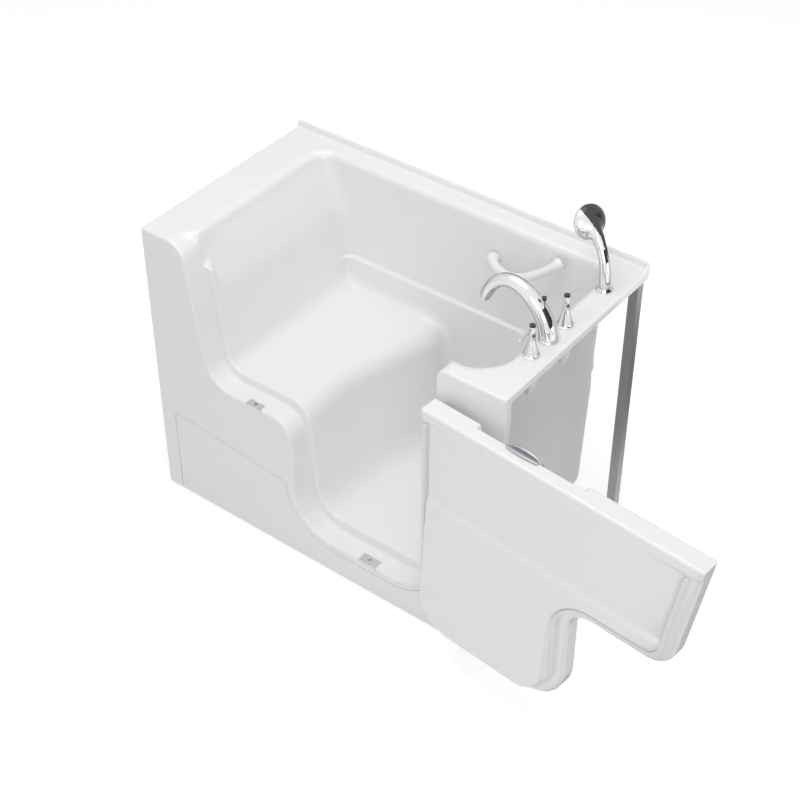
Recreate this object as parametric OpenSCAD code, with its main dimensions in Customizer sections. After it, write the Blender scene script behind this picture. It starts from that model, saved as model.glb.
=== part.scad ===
// Walk-in bathtub with a side-hinged door, drawn with the door swung open.
// Millimetres. X runs along the wall, Y runs from the front to the wall, Z is up.

/* [Tub] */
// Length along the wall
tub_l = 1346; // [1300:1:1500]
// Depth from the front face to the back of the tiling flange
tub_w = 756; // [740:1:820]
// Height of the deck
deck_h = 1047; // [1040:1:1090]
// Height of the tiling flange above the deck
flange_h = 20; // [12:1:40]
// Thickness of the tiling flange
flange_t = 10; // [6:1:14]
// Thickness of the moulded shell
shell_t = 7; // [5:1:9]
// Height of the down-turned lip at the deck's edge
lip_h = 25; // [15:1:40]

/* [Seat and footwell] */
// Height of the front ledge beside the seat
ledge_h = 548; // [520:1:570]
// Height of the door sill
sill_h = 126; // [115:1:135]
// How much the seat and footwell stand above the ledge and the sill
rise_h = 32; // [28:1:40]
// Distance from the left end to the backrest's foot
backrest_x = 262; // [250:1:290]
// Width of the column and the tap deck at the right end
column_w = 232; // [224:1:256]
// Depth of the door jamb
jamb_d = 74; // [70:1:80]
// Width of the deck along the wall
back_deck_w = 74; // [66:1:86]
// Width of the ledge along the back wall
back_ledge_w = 20; // [10:1:30]
// Height of the ledge along the back wall
back_ledge_h = 682; // [640:1:720]

/* [Door] */
// Gap between the door's edge and the jamb
door_gap = 5; // [4:0.5:7]
// Drop from the deck to the door's top
door_drop = 77; // [67:1:97]
// Thickness of the door's frame layer
door_t = 55; // [50:1:58]
// Thickness of the door at its top band
band_t = 64; // [62:1:68]
// Height of the door's top band
band_h = 38; // [30:1:45]
// Wall of the two door skins
skin_t = 4; // [3:0.5:6]
// Inset of the inner skin from the door's edge
inner_inset = 42; // [41:1:46]
// Thickness of the door's inner skin at the foot end
door_foot_t = 100; // [90:1:104]
// Height of the crease across the inner skin
crease_h = 651; // [620:1:700]
// Depth of the latch recess
recess_d = 22; // [18:1:24]
// Travel of the latch bolts
bolt_travel = 12.2; // [10:0.1:13]
// Opening angle from shut to fully open
door_swing = 175; // [150:1:178]
// Radius of the hinge pin
pin_r = 3; // [2.5:0.5:4]

/* [Taps] */
// Distance between neighbouring taps
tap_pitch = 86; // [80:1:110]
// Distance from the front face to the first tap
tap_y = 205; // [190:1:230]
// Distance from the tub's right end to the row of taps
tap_inset = 58; // [52:1:62]
// Distance from the back of the flange to the hand shower
shower_back = 172; // [136:1:196]
// Height of a tap handle
handle_h = 104; // [95:1:120]

/* [Frame] */
// Width of the square frame tube
tube_w = 30; // [25:1:32]
// Wall of the frame tube
tube_t = 2; // [1.5:0.5:3]
// Height of the frame's underside
frame_z = 24; // [20:1:40]

/* [Hidden] */
$fn = 48;
// Segments in each rounded corner of an outline
corner_n = 8;
// Overrun of cuts past a face
over = 1;
// Clearance between touching pieces
fit = 0.3;
// Radial running clearance of a pin
run_fit = 0.05;

white = "whitesmoke";
steel = "silver";
dark_steel = "slategray";
chrome = "lightsteelblue";
rubber = "dimgray";

// Places that follow from the sizes above
ledge_share = 0.42125;
ledge_x = round(tub_l * ledge_share);
column_x = tub_l - column_w;
back_y = tub_w - back_deck_w;
shower_y = tub_w - shower_back;
door_top_h = deck_h - door_drop;

// Outline of the door opening, seen from the front
rim_x = 163;
rim_r = 58;
backrest_lean = 77;
ledge_in_r = 95;
ledge_nose_r = 75;
sill_left_r = 150;
sill_right_r = 175;
column_r = 36;
// Outline of the inside surfaces
floor_rise = 8;
seat_z = ledge_h + rise_h;
floor_z = sill_h + rise_h + floor_rise;
seat_nose_right = 11;
riser_foot_right = 48;
seat_nose_x = ledge_x + seat_nose_right;
riser_foot_x = ledge_x + riser_foot_right;
seat_back_r = 60;
seat_nose_r = 75;
riser_foot_r = 95;
lumbar_drop = 112;
lumbar_z = deck_h - lumbar_drop;
lumbar_step = 30;
lumbar_r = 22;
end_wall_inset = 94;
end_foot_inset = 128;
end_foot_r = 75;
end_rim_r = 12;
plan_right_inset = 84;
plan_corner_r = 60;
plan_front_r = 100;

tap_x = tub_l - tap_inset;
flange_y = tub_w - flange_t;

// Moves children from the tub's front left floor corner to the part's own origin
module place() { translate([-tub_l / 2, -tub_w / 2, 0]) children(); }

// Outlines: each corner is [x, y, radius], listed anticlockwise
function unit(v) = v / norm(v);
function flat(p) = [p.x, p.y];
function side_out(a, b) = let (v = unit(b - a)) [v.y, -v.x];
function turn(p, q, r) = let (a = flat(q) - flat(p), b = flat(r) - flat(q)) a.x * b.y - a.y * b.x;
function grown(c, d) = let (n = len(c)) [for (i = [0 : n - 1])
  let (p = c[(i + n - 1) % n], q = c[i], r = c[(i + 1) % n],
    n1 = side_out(flat(p), flat(q)), n2 = side_out(flat(q), flat(r)), k = (n1 + n2) / (1 + n1 * n2))
  [q.x + k.x * d, q.y + k.y * d, q.z == 0 ? 0 : max(fit, q.z + (turn(p, q, r) > 0 ? d : -d))]];
function corner_arc(p, q, r) = let (
    a = unit(flat(p) - flat(q)), b = unit(flat(r) - flat(q)), half = acos(a * b) / 2,
    c = flat(q) + unit(a + b) * q.z / sin(half), s = flat(q) + a * q.z / tan(half) - c,
    sweep = (180 - 2 * half) * sign(turn(p, q, r)))
  [for (i = [0 : corner_n]) let (t = sweep * i / corner_n)
    c + [s.x * cos(t) - s.y * sin(t), s.x * sin(t) + s.y * cos(t)]];
function rounded(c) = let (n = len(c)) [for (i = [0 : n - 1])
  let (p = c[(i + n - 1) % n], q = c[i], r = c[(i + 1) % n])
  each (q.z == 0 ? [flat(q)] : corner_arc(p, q, r))];

// A front-view outline pushed from depth y0 to depth y1
module slab(c, y0, y1) {
  translate([0, y1, 0]) rotate([90, 0, 0]) linear_extrude(y1 - y0) polygon(rounded(c));
}
// A plan outline raised from z0 to z1
module tower(c, z0, z1) { translate([0, 0, z0]) linear_extrude(z1 - z0) polygon(rounded(c)); }
module block(a, b) { translate(a) cube(b - a); }

sky_z = deck_h + 3 * flange_h;
jamb_corners = [
  [ledge_x, sill_h, sill_left_r], [column_x, sill_h, sill_right_r], [column_x, deck_h, column_r],
  [tub_l - 2 * tap_inset, deck_h, 0], [tub_l - 2 * tap_inset, sky_z, 0], [rim_x - 2 * rim_r, sky_z, 0],
  [rim_x - 2 * rim_r, deck_h, 0], [rim_x, deck_h, rim_r], [rim_x + backrest_lean, ledge_h, ledge_in_r],
  [ledge_x, ledge_h, ledge_nose_r]];
basin_corners = [
  [riser_foot_x, floor_z, riser_foot_r], [tub_l - end_foot_inset, floor_z, end_foot_r],
  [tub_l - end_wall_inset, deck_h, end_rim_r], [tub_l - shell_t, deck_h, 0], [tub_l - shell_t, sky_z, 0],
  [rim_x - 2 * rim_r, sky_z, 0], [rim_x - 2 * rim_r, deck_h, 0], [rim_x + shell_t, deck_h, rim_r],
  [rim_x + 3 * shell_t, lumbar_z + lumbar_r, lumbar_r],
  [rim_x + 3 * shell_t + lumbar_step, lumbar_z, lumbar_r],
  [backrest_x, seat_z, seat_back_r], [seat_nose_x, seat_z, seat_nose_r]];
function plan_corners(y1) = [
  [0, jamb_d, 0], [tub_l - plan_right_inset, jamb_d, plan_front_r],
  [tub_l - plan_right_inset, y1, plan_corner_r], [0, y1, 0]];

module basin(d) {
  intersection() {
    slab(grown(basin_corners, d), 0, tub_w);
    union() {
      tower(grown(plan_corners(back_y - back_ledge_w), d), 0, back_ledge_h);
      tower(grown(plan_corners(back_y), d), back_ledge_h - d, sky_z + 2 * d);
    }
  }
}
module jamb(d, y0, y1) { slab(grown(jamb_corners, d), y0, y1); }

// Access panel outline: it follows the door opening at a steady distance
seam_off = 35;
panel_left_x = 60;
panel_right_inset = 60;
panel_z = 6;
panel_top_z = 338;
panel_nose_z = 292;
panel_corner_r = 18;
panel_t = 4;
panel_seam = 1.5;
panel_lap = 15;
apron_z = 10;
panel_corners = [
  [panel_left_x, panel_z, 0], [tub_l - panel_right_inset, panel_z, 0],
  [tub_l - panel_right_inset, panel_top_z, panel_corner_r],
  [column_x + seam_off, panel_top_z, panel_corner_r],
  [column_x + seam_off, sill_h - seam_off, sill_right_r + seam_off],
  [ledge_x - seam_off, sill_h - seam_off, sill_left_r + seam_off],
  [ledge_x - seam_off, panel_nose_z, panel_corner_r / 2], [panel_left_x, panel_top_z, panel_corner_r]];

// Drain, overflow and tap holes
drain_back = 24;
drain_x = column_x - drain_back;
drain_y = tub_w / 2;
drain_r = 34;
drain_hole_r = 24;
overflow_drop = 142;
overflow_z = deck_h - overflow_drop;
overflow_right = 28;
overflow_x = column_x + overflow_right;
overflow_r = 19;
overflow_hole_r = 12;
tap_hole_r = 17;
spout_hole_r = 13;
shower_hole_r = 21;
tap_ys = [tap_y, tap_y + tap_pitch, tap_y + 2 * tap_pitch];
module on_overflow() { translate([overflow_x, jamb_d, overflow_z]) rotate([-90, 0, 0]) children(); }

// Latch places along the door
bolt_xs = [417, 859];
bolt_ys = [13, 17];
bolt_r = 5;
bolt_fit = 0.6;
catch_ws = [58, 66];
catch_ds = [24, 34];
catch_t = 2;
catch_lip = 13;
catch_zs = [ledge_h, sill_h];

// Hinge
hinge_right = 8;
hinge_x = column_x + hinge_right;
hinge_y = -12;
knuckle_r = 6.5;
leaf_t = 2.6;
leaf_w = 34;
hinge_z0 = 270;
knuckle_n = 7;
hinge_top_drop = 133;
knuckle_l = (deck_h - hinge_top_drop - hinge_z0) / knuckle_n;
knuckle_gap = 0.4;
leaf_l = knuckle_n * knuckle_l;
leaf_zs_share = [0.14, 0.5, 0.93];
screw_r = 2.2;
screw_head_r = 4.6;
screw_head_h = 1.6;
screw_l = 14;

// The step that the door's seal meets on the hinge side
hinge_step_w = 24;
module hinge_step() intersection() {
  difference() {
    slab(grown(jamb_corners, shell_t), jamb_d, jamb_d + shell_t);
    slab(grown(jamb_corners, -hinge_step_w), jamb_d - over, jamb_d + 2 * shell_t);
  }
  block([column_x - sill_right_r, 0, 0], [column_x + shell_t, tub_w, lumbar_z]);
}
// The moulding meets its front half on a plane just behind the jamb
split_y = jamb_d + 2 * shell_t;
module tub_shell() place() color(white) intersection() {
  moulding();
  block([-over, split_y, 0], [tub_l + over, tub_w + over, sky_z]);
}
module front_shell() place() color(white) {
  hinge_step();
  intersection() {
    moulding();
    block([-over, -over, 0], [tub_l + over, split_y, sky_z]);
  }
}
module moulding() difference() {
  union() {
    intersection() {
      union() {
        basin(shell_t);
        jamb(shell_t, 0, jamb_d + shell_t);
      }
      block([0, 0, 0], [tub_l, flange_y, deck_h]);
    }
    block([0, 0, deck_h - shell_t], [tub_l, tub_w, deck_h]);
    block([0, 0, deck_h - lip_h], [shell_t, flange_y, deck_h]);
    block([tub_l - shell_t, 0, deck_h - lip_h], [tub_l, tub_w, deck_h]);
    block([0, flange_y, deck_h - lip_h], [tub_l, tub_w, deck_h + flange_h]);
    block([0, 0, apron_z], [tub_l, shell_t, deck_h]);
    block([tub_l - shell_t, 0, apron_z], [tub_l, lip_h, deck_h]);
    block([0, 0, apron_z], [shell_t, lip_h, deck_h]);
    slab(grown(panel_corners, panel_seam + shell_t), 0, panel_t + shell_t);
  }
  basin(0);
  jamb(0, -over, jamb_d);
  slab(grown(panel_corners, panel_seam), -over, panel_t + fit);
  slab(grown(panel_corners, -panel_lap), -over, jamb_d);
  block([-over, -over, -apron_z], [tub_l + over, tub_w, apron_z]);
  translate([drain_x, drain_y, 0]) cylinder(h = 2 * floor_z, r = drain_hole_r);
  on_overflow() translate([0, 0, -2 * shell_t]) cylinder(h = 4 * shell_t, r = overflow_hole_r);
  for (i = [0 : 2]) translate([tap_x, tap_ys[i], deck_h - 2 * shell_t])
    cylinder(h = 4 * shell_t, r = i == 1 ? spout_hole_r : tap_hole_r);
  translate([tap_x, shower_y, deck_h - 2 * shell_t]) cylinder(h = 4 * shell_t, r = shower_hole_r);
  for (i = [0, 1]) translate([bolt_xs[i], bolt_ys[i], catch_zs[i] - 2 * shell_t])
    cylinder(h = 3 * shell_t, r = bolt_r + 2 * bolt_fit);
  for (s = leaf_zs_share) translate([hinge_x + leaf_w * 3 / 4, -over, hinge_z0 + s * leaf_l])
    rotate([-90, 0, 0]) cylinder(h = 2 * shell_t, r = screw_r + run_fit);
}

module access_panel() place() color(white)
  slab(panel_corners, 0, panel_t);

// Spring clips that hold the panel against its rebate
clip_xs_share = [0.08, 0.3, 0.6, 0.92];
clip_w = 24;
clip_h = 16;
clip_z = 40;
module panel_clips() place() color(steel) for (s = clip_xs_share)
  translate([panel_left_x + s * (tub_l - panel_right_inset - panel_left_x), 0, 0])
    block([0, panel_t, clip_z], [clip_w, panel_t + shell_t / 2, clip_z + clip_h]);

// Square tube between two corners, hollow along one axis
module tube(a, b, axis) difference() {
  block(a, b);
  block(a + [axis == 0 ? -over : tube_t, axis == 1 ? -over : tube_t, axis == 2 ? -over : tube_t],
    b - [axis == 0 ? -over : tube_t, axis == 1 ? -over : tube_t, axis == 2 ? -over : tube_t]);
}
post_inset = 16;
front_y = 12;
rail_gap = 2;
back_rail_y = flange_y - tube_w - rail_gap;
frame_top = frame_z + tube_w;
left_x = post_inset;
right_x = tub_l - post_inset - tube_w;
hinge_post_right = 52;
hinge_post_x = column_x + hinge_post_right;
centre_x = tub_l / 2 - tube_w / 2;
post_top = deck_h - shell_t;
module rail(y) tube([left_x, y, frame_z], [right_x + tube_w, y + tube_w, frame_top], 0);
module cross(x) tube([x, front_y + tube_w, frame_z], [x + tube_w, back_rail_y, frame_top], 1);
module post(x, y) tube([x, y, frame_top], [x + tube_w, y + tube_w, post_top], 2);
module base_rail_front() place() color(steel) difference() {
  rail(front_y);
  foot_holes();
}
module base_rail_back() place() color(steel) difference() {
  rail(back_rail_y);
  foot_holes();
}
module cross_rail_left() place() color(steel) cross(left_x);
module cross_rail_centre() place() color(steel) difference() {
  cross(centre_x);
  foot_holes();
}
module cross_rail_right() place() color(steel) cross(right_x);
module post_front_left() place() color(steel) post(left_x, front_y);
module hinge_post() place() color(steel) post(hinge_post_x, front_y);
module post_back_left() place() color(steel) post(left_x, back_rail_y);
module post_back_right() place() color(steel) post(right_x, back_rail_y);

// Portal frames that carry the seat and the footwell: a bottom tube, two legs, a top tube
portal_ys = [jamb_d + 2 * tube_w, back_y - 5 * tube_w];
module portal(x, top) {
  tube([x, front_y + tube_w, frame_z], [x + tube_w, back_rail_y, frame_top], 1);
  for (y = portal_ys) tube([x, y, frame_top], [x + tube_w, y + tube_w, top - tube_w], 2);
  tube([x, portal_ys[0], top - tube_w], [x + tube_w, portal_ys[1] + tube_w, top], 1);
}
module seat_frame() place() color(steel)
  for (x = [backrest_x + tube_w, ledge_x - 3 * tube_w]) portal(x, seat_z - shell_t);
module footwell_frame() place() color(steel)
  for (x = [centre_x + 2 * tube_w, drain_x - 4 * tube_w]) portal(x, floor_z - shell_t);

// Leveling feet: a pad and a threaded stud that enters the frame
stud_r = 6;
pad_r = 20;
pad_h = 8;
nut_r = 10;
nut_h = 9;
foot_places = [[left_x + tube_w / 2, front_y + tube_w / 2], [right_x + tube_w / 2, front_y + tube_w / 2],
  [left_x + tube_w / 2, back_rail_y + tube_w / 2], [right_x + tube_w / 2, back_rail_y + tube_w / 2]];
centre_place = [tub_l / 2, tub_w / 2];
module foot_holes() for (p = concat(foot_places, [centre_place]))
  translate([p.x, p.y, frame_z - over]) cylinder(h = tube_w / 2, r = stud_r + run_fit);
module foot() {
  cylinder(h = pad_h, r = pad_r);
  cylinder(h = frame_z + tube_w / 2, r = stud_r);
}
module foot_nut() translate([0, 0, frame_z - nut_h]) difference() {
  cylinder(h = nut_h, r = nut_r, $fn = 6);
  translate([0, 0, -over]) cylinder(h = nut_h + 2 * over, r = stud_r + run_fit);
}
module leveling_feet() place() color(dark_steel) for (p = foot_places) translate(p) foot();
module foot_nuts() place() color(steel) for (p = concat(foot_places, [centre_place])) translate(p) foot_nut();
module centre_foot() place() color(dark_steel) translate(centre_place) foot();

// Waste fittings
stopper_r = 20;
stopper_t = 5;
stem_r = 4;
strainer_t = 4;
tail_l = 21;
waste_r = 19;
waste_t = 3;
waste_z = 95;
waste_run = 168;
waste_spigot_l = 50;
waste_spigot_r = 18;
overflow_pipe_r = 12;
overflow_bend_y = 42;
module drain_flange() place() color(chrome) translate([drain_x, drain_y, floor_z]) difference() {
  union() {
    cylinder(h = strainer_t, r = drain_r);
    translate([0, 0, -tail_l]) cylinder(h = tail_l + fit, r = drain_hole_r - fit);
  }
  difference() {
    translate([0, 0, -tail_l - over])
      cylinder(h = tail_l + strainer_t + 2 * over, r = stopper_r - strainer_t);
    spider();
  }
  translate([0, 0, -tail_l - over]) cylinder(h = tail_l + strainer_t + 2 * over, r = stem_r + run_fit);
}
module spider() {
  translate([0, 0, -strainer_t]) cylinder(h = strainer_t, r = 2 * stem_r);
  for (a = [0, 90]) rotate([0, 0, a])
    block([-stopper_r, -stem_r / 2, -strainer_t], [stopper_r, stem_r / 2, 0]);
}
module drain_stopper() place() color(chrome) translate([drain_x, drain_y, floor_z]) {
  translate([0, 0, strainer_t + fit]) cylinder(h = stopper_t, r = stopper_r);
  translate([0, 0, -tail_l]) cylinder(h = tail_l + stopper_t, r = stem_r);
}
module waste_run_shape(r, end_l) {
  translate([drain_x, drain_y, waste_z - r]) cylinder(h = floor_z - tail_l - waste_z + r, r = r);
  translate([drain_x, drain_y, waste_z]) rotate([0, 90, 0]) cylinder(h = end_l, r = r);
}
module waste_pipe() place() color(white) difference() {
  union() {
    waste_run_shape(waste_r, waste_run - waste_spigot_l);
    translate([drain_x, drain_y, waste_z]) rotate([0, 90, 0]) cylinder(h = waste_run, r = waste_spigot_r);
  }
  waste_run_shape(waste_r - waste_t, waste_run + over);
  translate([drain_x, drain_y, waste_z]) cylinder(h = floor_z - waste_z, r = waste_r - waste_t);
}
module overflow_run_shape(r, past) {
  translate([overflow_x, overflow_bend_y, overflow_z]) rotate([-90, 0, 0])
    cylinder(h = jamb_d - shell_t - overflow_bend_y + past, r = r);
  translate([overflow_x, overflow_bend_y, waste_z]) cylinder(h = overflow_z - waste_z, r = r);
  translate([overflow_x, overflow_bend_y, waste_z]) rotate([-90, 0, 0])
    cylinder(h = drain_y - waste_r - overflow_bend_y + past, r = r);
  for (z = [waste_z, overflow_z]) translate([overflow_x, overflow_bend_y, z]) sphere(r = r);
}
module overflow_pipe() place() color(white) difference() {
  overflow_run_shape(overflow_pipe_r, 0);
  overflow_run_shape(overflow_pipe_r - waste_t, over);
}
knob_r = 16;
knob_h = 14;
knob_lobes = 3;
spindle_r = 5;
module overflow_plate() place() color(chrome) on_overflow() difference() {
  cylinder(h = strainer_t, r = overflow_r);
  translate([0, 0, -over]) cylinder(h = strainer_t + 2 * over, r = spindle_r + run_fit);
}
module overflow_knob() place() color(chrome) on_overflow() {
  translate([0, 0, strainer_t + fit]) {
    cylinder(h = knob_h, r = knob_r * 2 / 3);
    for (i = [0 : knob_lobes - 1]) rotate([0, 0, i * 360 / knob_lobes]) translate([knob_r / 2, 0, 0])
      cylinder(h = knob_h, r = knob_r / 2);
  }
  translate([0, 0, -shell_t]) cylinder(h = 2 * shell_t, r = spindle_r);
}

// Grab bar on the back wall: two feet and a dipped bar between them
bar_r = 15;
bar_foot_r = 24;
bar_left_share = 0.626;
bar_right_share = 0.803;
bar_left_drop = 130;
bar_right_drop = 50;
bar_left = [bar_left_share * tub_l, deck_h - bar_left_drop];
bar_right = [bar_right_share * tub_l, deck_h - bar_right_drop];
bar_stand = 55;
bar_dip = 34;
bar_n = 14;
bar_power = 0.55;
bar_sides = 16;
function bar_point(t) = let (p = bar_left + (bar_right - bar_left) * t)
  [p.x, back_y - bar_r / 2 - bar_stand * pow(sin(180 * t), bar_power), p.y - bar_dip * sin(180 * t)];

// A tube of changing radius swept along computed points; sections stay square to the path
function path_dir(p, i) = unit(p[min(i + 1, len(p) - 1)] - p[max(i - 1, 0)]);
module swept(p, radii, across, sides) {
  rings = len(p);
  points = [for (i = [0 : rings - 1]) let (t = path_dir(p, i), s = unit(cross(across, t)), u = cross(t, s))
    for (k = [0 : sides - 1]) let (a = 360 * k / sides)
      p[i] + s * radii[i][0] * cos(a) + u * radii[i][1] * sin(a)];
  quads = [for (i = [0 : rings - 2]) for (k = [0 : sides - 1])
    let (a = i * sides + k, b = i * sides + (k + 1) % sides)
      each [[a, b + sides, b], [a, a + sides, b + sides]]];
  polyhedron(concat(points, [p[0], p[rings - 1]]), concat(quads,
    [for (k = [0 : sides - 1]) [k, (k + 1) % sides, rings * sides]],
    [for (k = [0 : sides - 1])
      [(rings - 1) * sides + (k + 1) % sides, (rings - 1) * sides + k, rings * sides + 1]]));
}
bar_foot_h = 9;
module grab_bar() place() color(white) {
  path = [for (i = [0 : bar_n]) bar_point(i / bar_n)];
  difference() {
    swept(path, [for (i = [0 : bar_n]) [bar_r, bar_r]], [0, 0, 1], bar_sides);
    block([0, back_y - fit, 0], [tub_l, tub_w, deck_h]);
  }
  for (p = [bar_left, bar_right]) translate([p.x, back_y - fit, p.y]) rotate([90, 0, 0])
    cylinder(h = bar_foot_h, r1 = bar_foot_r, r2 = bar_r);
}

// Spout: a thick swan neck that leans over the basin
spout_base_r = 28;
spout_tip_r = 15;
spout_reach = 216;
spout_rise = 128;
spout_n = 16;
spout_sides = 20;
spout_y = tap_ys[1];
// Cubic curve through four control points
function cubic(a, b, c, d, t) = a * pow(1 - t, 3) + 3 * b * t * pow(1 - t, 2)
  + 3 * c * t * t * (1 - t) + d * pow(t, 3);
spout_foot = [tap_x, spout_y, deck_h];
spout_ctrl_shares = [[0, 0.8], [0.72, 1.85], [1, 0.42]];
function spout_ctrl(i) = spout_foot
  + [-spout_reach * spout_ctrl_shares[i][0], 0, spout_rise * spout_ctrl_shares[i][1]];
function spout_point(t) = cubic(spout_foot, spout_ctrl(0), spout_ctrl(1), spout_ctrl(2), t);
spout_end_dir = unit(spout_point(1) - spout_point(1 - 1 / spout_n));
spout_end_tilt = atan2(-spout_end_dir.x, spout_end_dir.z);
outlet_l = 6;
outlet_r = 12.5;
outlet_bore_r = 9;
// Lift knob on the spout's back
lift_back = 21;
lift_foot_share = 0.6875;
lift_boss_share = 0.9375;
lift_stand = 18;
lift_foot_z = deck_h + spout_rise * lift_foot_share;
lift_boss_z = deck_h + spout_rise * lift_boss_share;
lift_top_z = lift_boss_z + lift_stand;
lift_boss_r = 6;
lift_r = 3;
lift_cap_r = 6.5;
lift_cap_h = 9;
lift_x = tap_x - lift_back;
// A low ring under the neck, which starts just above the deck
spout_ring_r = 28.5;
spout_ring_h = 6;
spout_lift = 3.6;
spout_taper = 0.7;
function spout_r(t) = spout_base_r + (spout_tip_r - spout_base_r) * pow(t, spout_taper);
module spout() place() color(chrome) difference() {
  union() {
    swept(concat([spout_foot + [0, 0, spout_lift]], [for (i = [1 : spout_n]) spout_point(i / spout_n)]),
      [for (i = [0 : spout_n]) [spout_r(i / spout_n), spout_r(i / spout_n)]], [0, 1, 0], spout_sides);
    translate(spout_foot) cylinder(h = spout_ring_h, r = spout_ring_r);
    translate([lift_x, spout_y, lift_foot_z]) cylinder(h = lift_boss_z - lift_foot_z, r = lift_boss_r);
  }
  translate([lift_x, spout_y, lift_foot_z]) cylinder(h = 2 * spout_base_r, r = lift_r + run_fit);
}
module spout_outlet() place() color(chrome) translate(spout_ctrl(2)) rotate([0, -spout_end_tilt, 0])
  difference() {
    cylinder(h = outlet_l, r = outlet_r);
    translate([0, 0, -over]) cylinder(h = outlet_l + 2 * over, r = outlet_bore_r);
  }
module diverter_knob() place() color(chrome) translate([lift_x, spout_y, 0]) {
  translate([0, 0, lift_top_z - lift_cap_h]) cylinder(h = lift_cap_h, r = lift_cap_r);
  translate([0, 0, lift_foot_z + 2 * fit]) cylinder(h = lift_top_z - lift_cap_h - lift_foot_z, r = lift_r);
}

// Tap handles: a bell base fixed to the deck and a lever that turns on it
bell_r = 24;
bell_rim = 3;
neck_r = 10.5;
neck_z = 62;
collar_r = 12;
collar_h = 4;
hub_r = 10;
hub_gap = 0.4;
lever_l = 58;
lever_r = 3.2;
lever_z_share = 0.88;
lever_tip_r = 4.2;
bell_n = 10;
bell_power = 1.25;
spindle_l = 90;
valve_bore_l = 50;
bell_curve = [for (i = [0 : bell_n]) let (t = i / bell_n)
  [neck_r + (bell_r - neck_r) * pow(1 - t, bell_power), bell_rim + (neck_z - bell_rim) * t]];
module bell() rotate_extrude() polygon(concat([[spindle_r + run_fit, 0], [bell_r, 0]], bell_curve,
  [[collar_r, neck_z], [collar_r, neck_z + collar_h], [spindle_r + run_fit, neck_z + collar_h]]));
module tap_bases() place() color(chrome) for (i = [0, 2]) translate([tap_x, tap_ys[i], deck_h]) bell();
module lever(side) {
  translate([0, 0, neck_z + collar_h + hub_gap])
    cylinder(h = handle_h - neck_z - collar_h - hub_gap, r = hub_r);
  translate([0, 0, neck_z + collar_h - spindle_l]) cylinder(h = spindle_l + collar_h, r = spindle_r);
  translate([0, 0, handle_h * lever_z_share]) rotate([side * -90, 0, 0]) cylinder(h = lever_l, r = lever_r);
  translate([0, side * lever_l, handle_h * lever_z_share]) sphere(r = lever_tip_r);
}
module left_lever() place() color(chrome) translate([tap_x, tap_ys[0], deck_h]) lever(-1);
module right_lever() place() color(chrome) translate([tap_x, tap_ys[2], deck_h]) lever(1);

// Valves and mixer pipe below the deck
valve_r = 16.5;
valve_l = 90;
body_r = 20;
body_l = 42;
tail_r = 10.475;
tail_len = 24;
lock_nut_r = 22;
lock_nut_h = 10;
pipe_r = 8;
tee_r = 14;
shank_r = 12.7;
module valve() difference() {
  union() {
    translate([0, 0, -valve_l]) cylinder(h = valve_l - fit, r = valve_r);
    translate([0, 0, -shell_t - lock_nut_h]) cylinder(h = lock_nut_h, r = lock_nut_r, $fn = 6);
    translate([0, 0, -valve_l - body_l / 2]) cylinder(h = body_l, r = body_r);
    translate([0, 0, -valve_l - body_l / 2 - tail_len]) cylinder(h = tail_len, r = tail_r);
  }
  translate([0, 0, -valve_bore_l]) cylinder(h = valve_bore_l + over, r = spindle_r + run_fit);
}
module valve_bodies() place() color("peru") for (i = [0, 2])
  translate([tap_x, tap_ys[i], deck_h]) valve();
module mixer_pipe() place() color("peru") translate([tap_x, spout_y, deck_h]) {
  translate([0, 0, -shell_t - lock_nut_h]) cylinder(h = lock_nut_h, r = lock_nut_r, $fn = 6);
  translate([0, 0, -valve_l]) cylinder(h = valve_l - fit, r = shank_r);
  translate([0, 0, -valve_l - tee_r]) cylinder(h = 2 * tee_r, r = tee_r);
  for (s = [-1, 1]) translate([0, 0, -valve_l]) rotate([s * 90, 0, 0])
    cylinder(h = tap_pitch - body_r, r = pipe_r);
}

// Hand shower: a ring on the deck, a socket below it, and the shower that stands in it
ring_r = 23.5;
ring_h = 5;
ring_neck_r = 18;
ring_neck_h = 9;
grip_r = 13;
grip_fit = 0.8;
socket_r = 20.5;
socket_bore_r = 16;
socket_l = 62;
grip_below = 16;
shower_tail_r = 9;
shower_tail_l = 24;
module shower_ring() place() color(chrome) translate([tap_x, shower_y, deck_h]) difference() {
  union() {
    cylinder(h = ring_h, r = ring_r);
    translate([0, 0, ring_h]) cylinder(h = ring_neck_h, r1 = ring_r - ring_h, r2 = ring_neck_r - over);
  }
  translate([0, 0, -over]) cylinder(h = ring_h + ring_neck_h + 2 * over, r = grip_r + grip_fit);
}
module shower_socket() place() color(dark_steel) translate([tap_x, shower_y, deck_h]) difference() {
  union() {
    translate([0, 0, -socket_l]) cylinder(h = socket_l, r = socket_r);
    translate([0, 0, -shell_t - lock_nut_h]) cylinder(h = lock_nut_h, r = lock_nut_r, $fn = 6);
  }
  translate([0, 0, -socket_l - over]) cylinder(h = socket_l + 2 * over, r = socket_bore_r);
}
head_r = 52;
head_back = 17;
head_front = 8;
head_lean = 23;
head_rise = 178;
head_reach = 108;
head_sides = 24;
face_r = 43;
shower_turn = 10;
face_t = 4;
head_mid = [tap_x - head_reach, shower_y, deck_h + head_rise];
head_up = [-sin(head_lean), 0, cos(head_lean)];
grip_top = [tap_x, shower_y, deck_h + ring_h + ring_neck_h];
neck_n = 7;
head_n = 9;
neck_swell = 3;
// The head's path runs past the disc below and stops just short of its top, in head radii
head_start = 1.15;
head_span = 2.14;
head_tip_share = 0.02;
neck_point = head_mid - head_up * head_r * head_start;
// Path: up the grip, over the bend, then straight up the head
head_path = concat(
  [for (i = [0 : neck_n]) cubic(grip_top, grip_top + [0, 0, head_r], neck_point - head_up * head_r,
    neck_point, i / neck_n)],
  [for (i = [1 : head_n]) neck_point + head_up * head_r * head_span * i / head_n]);
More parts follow.
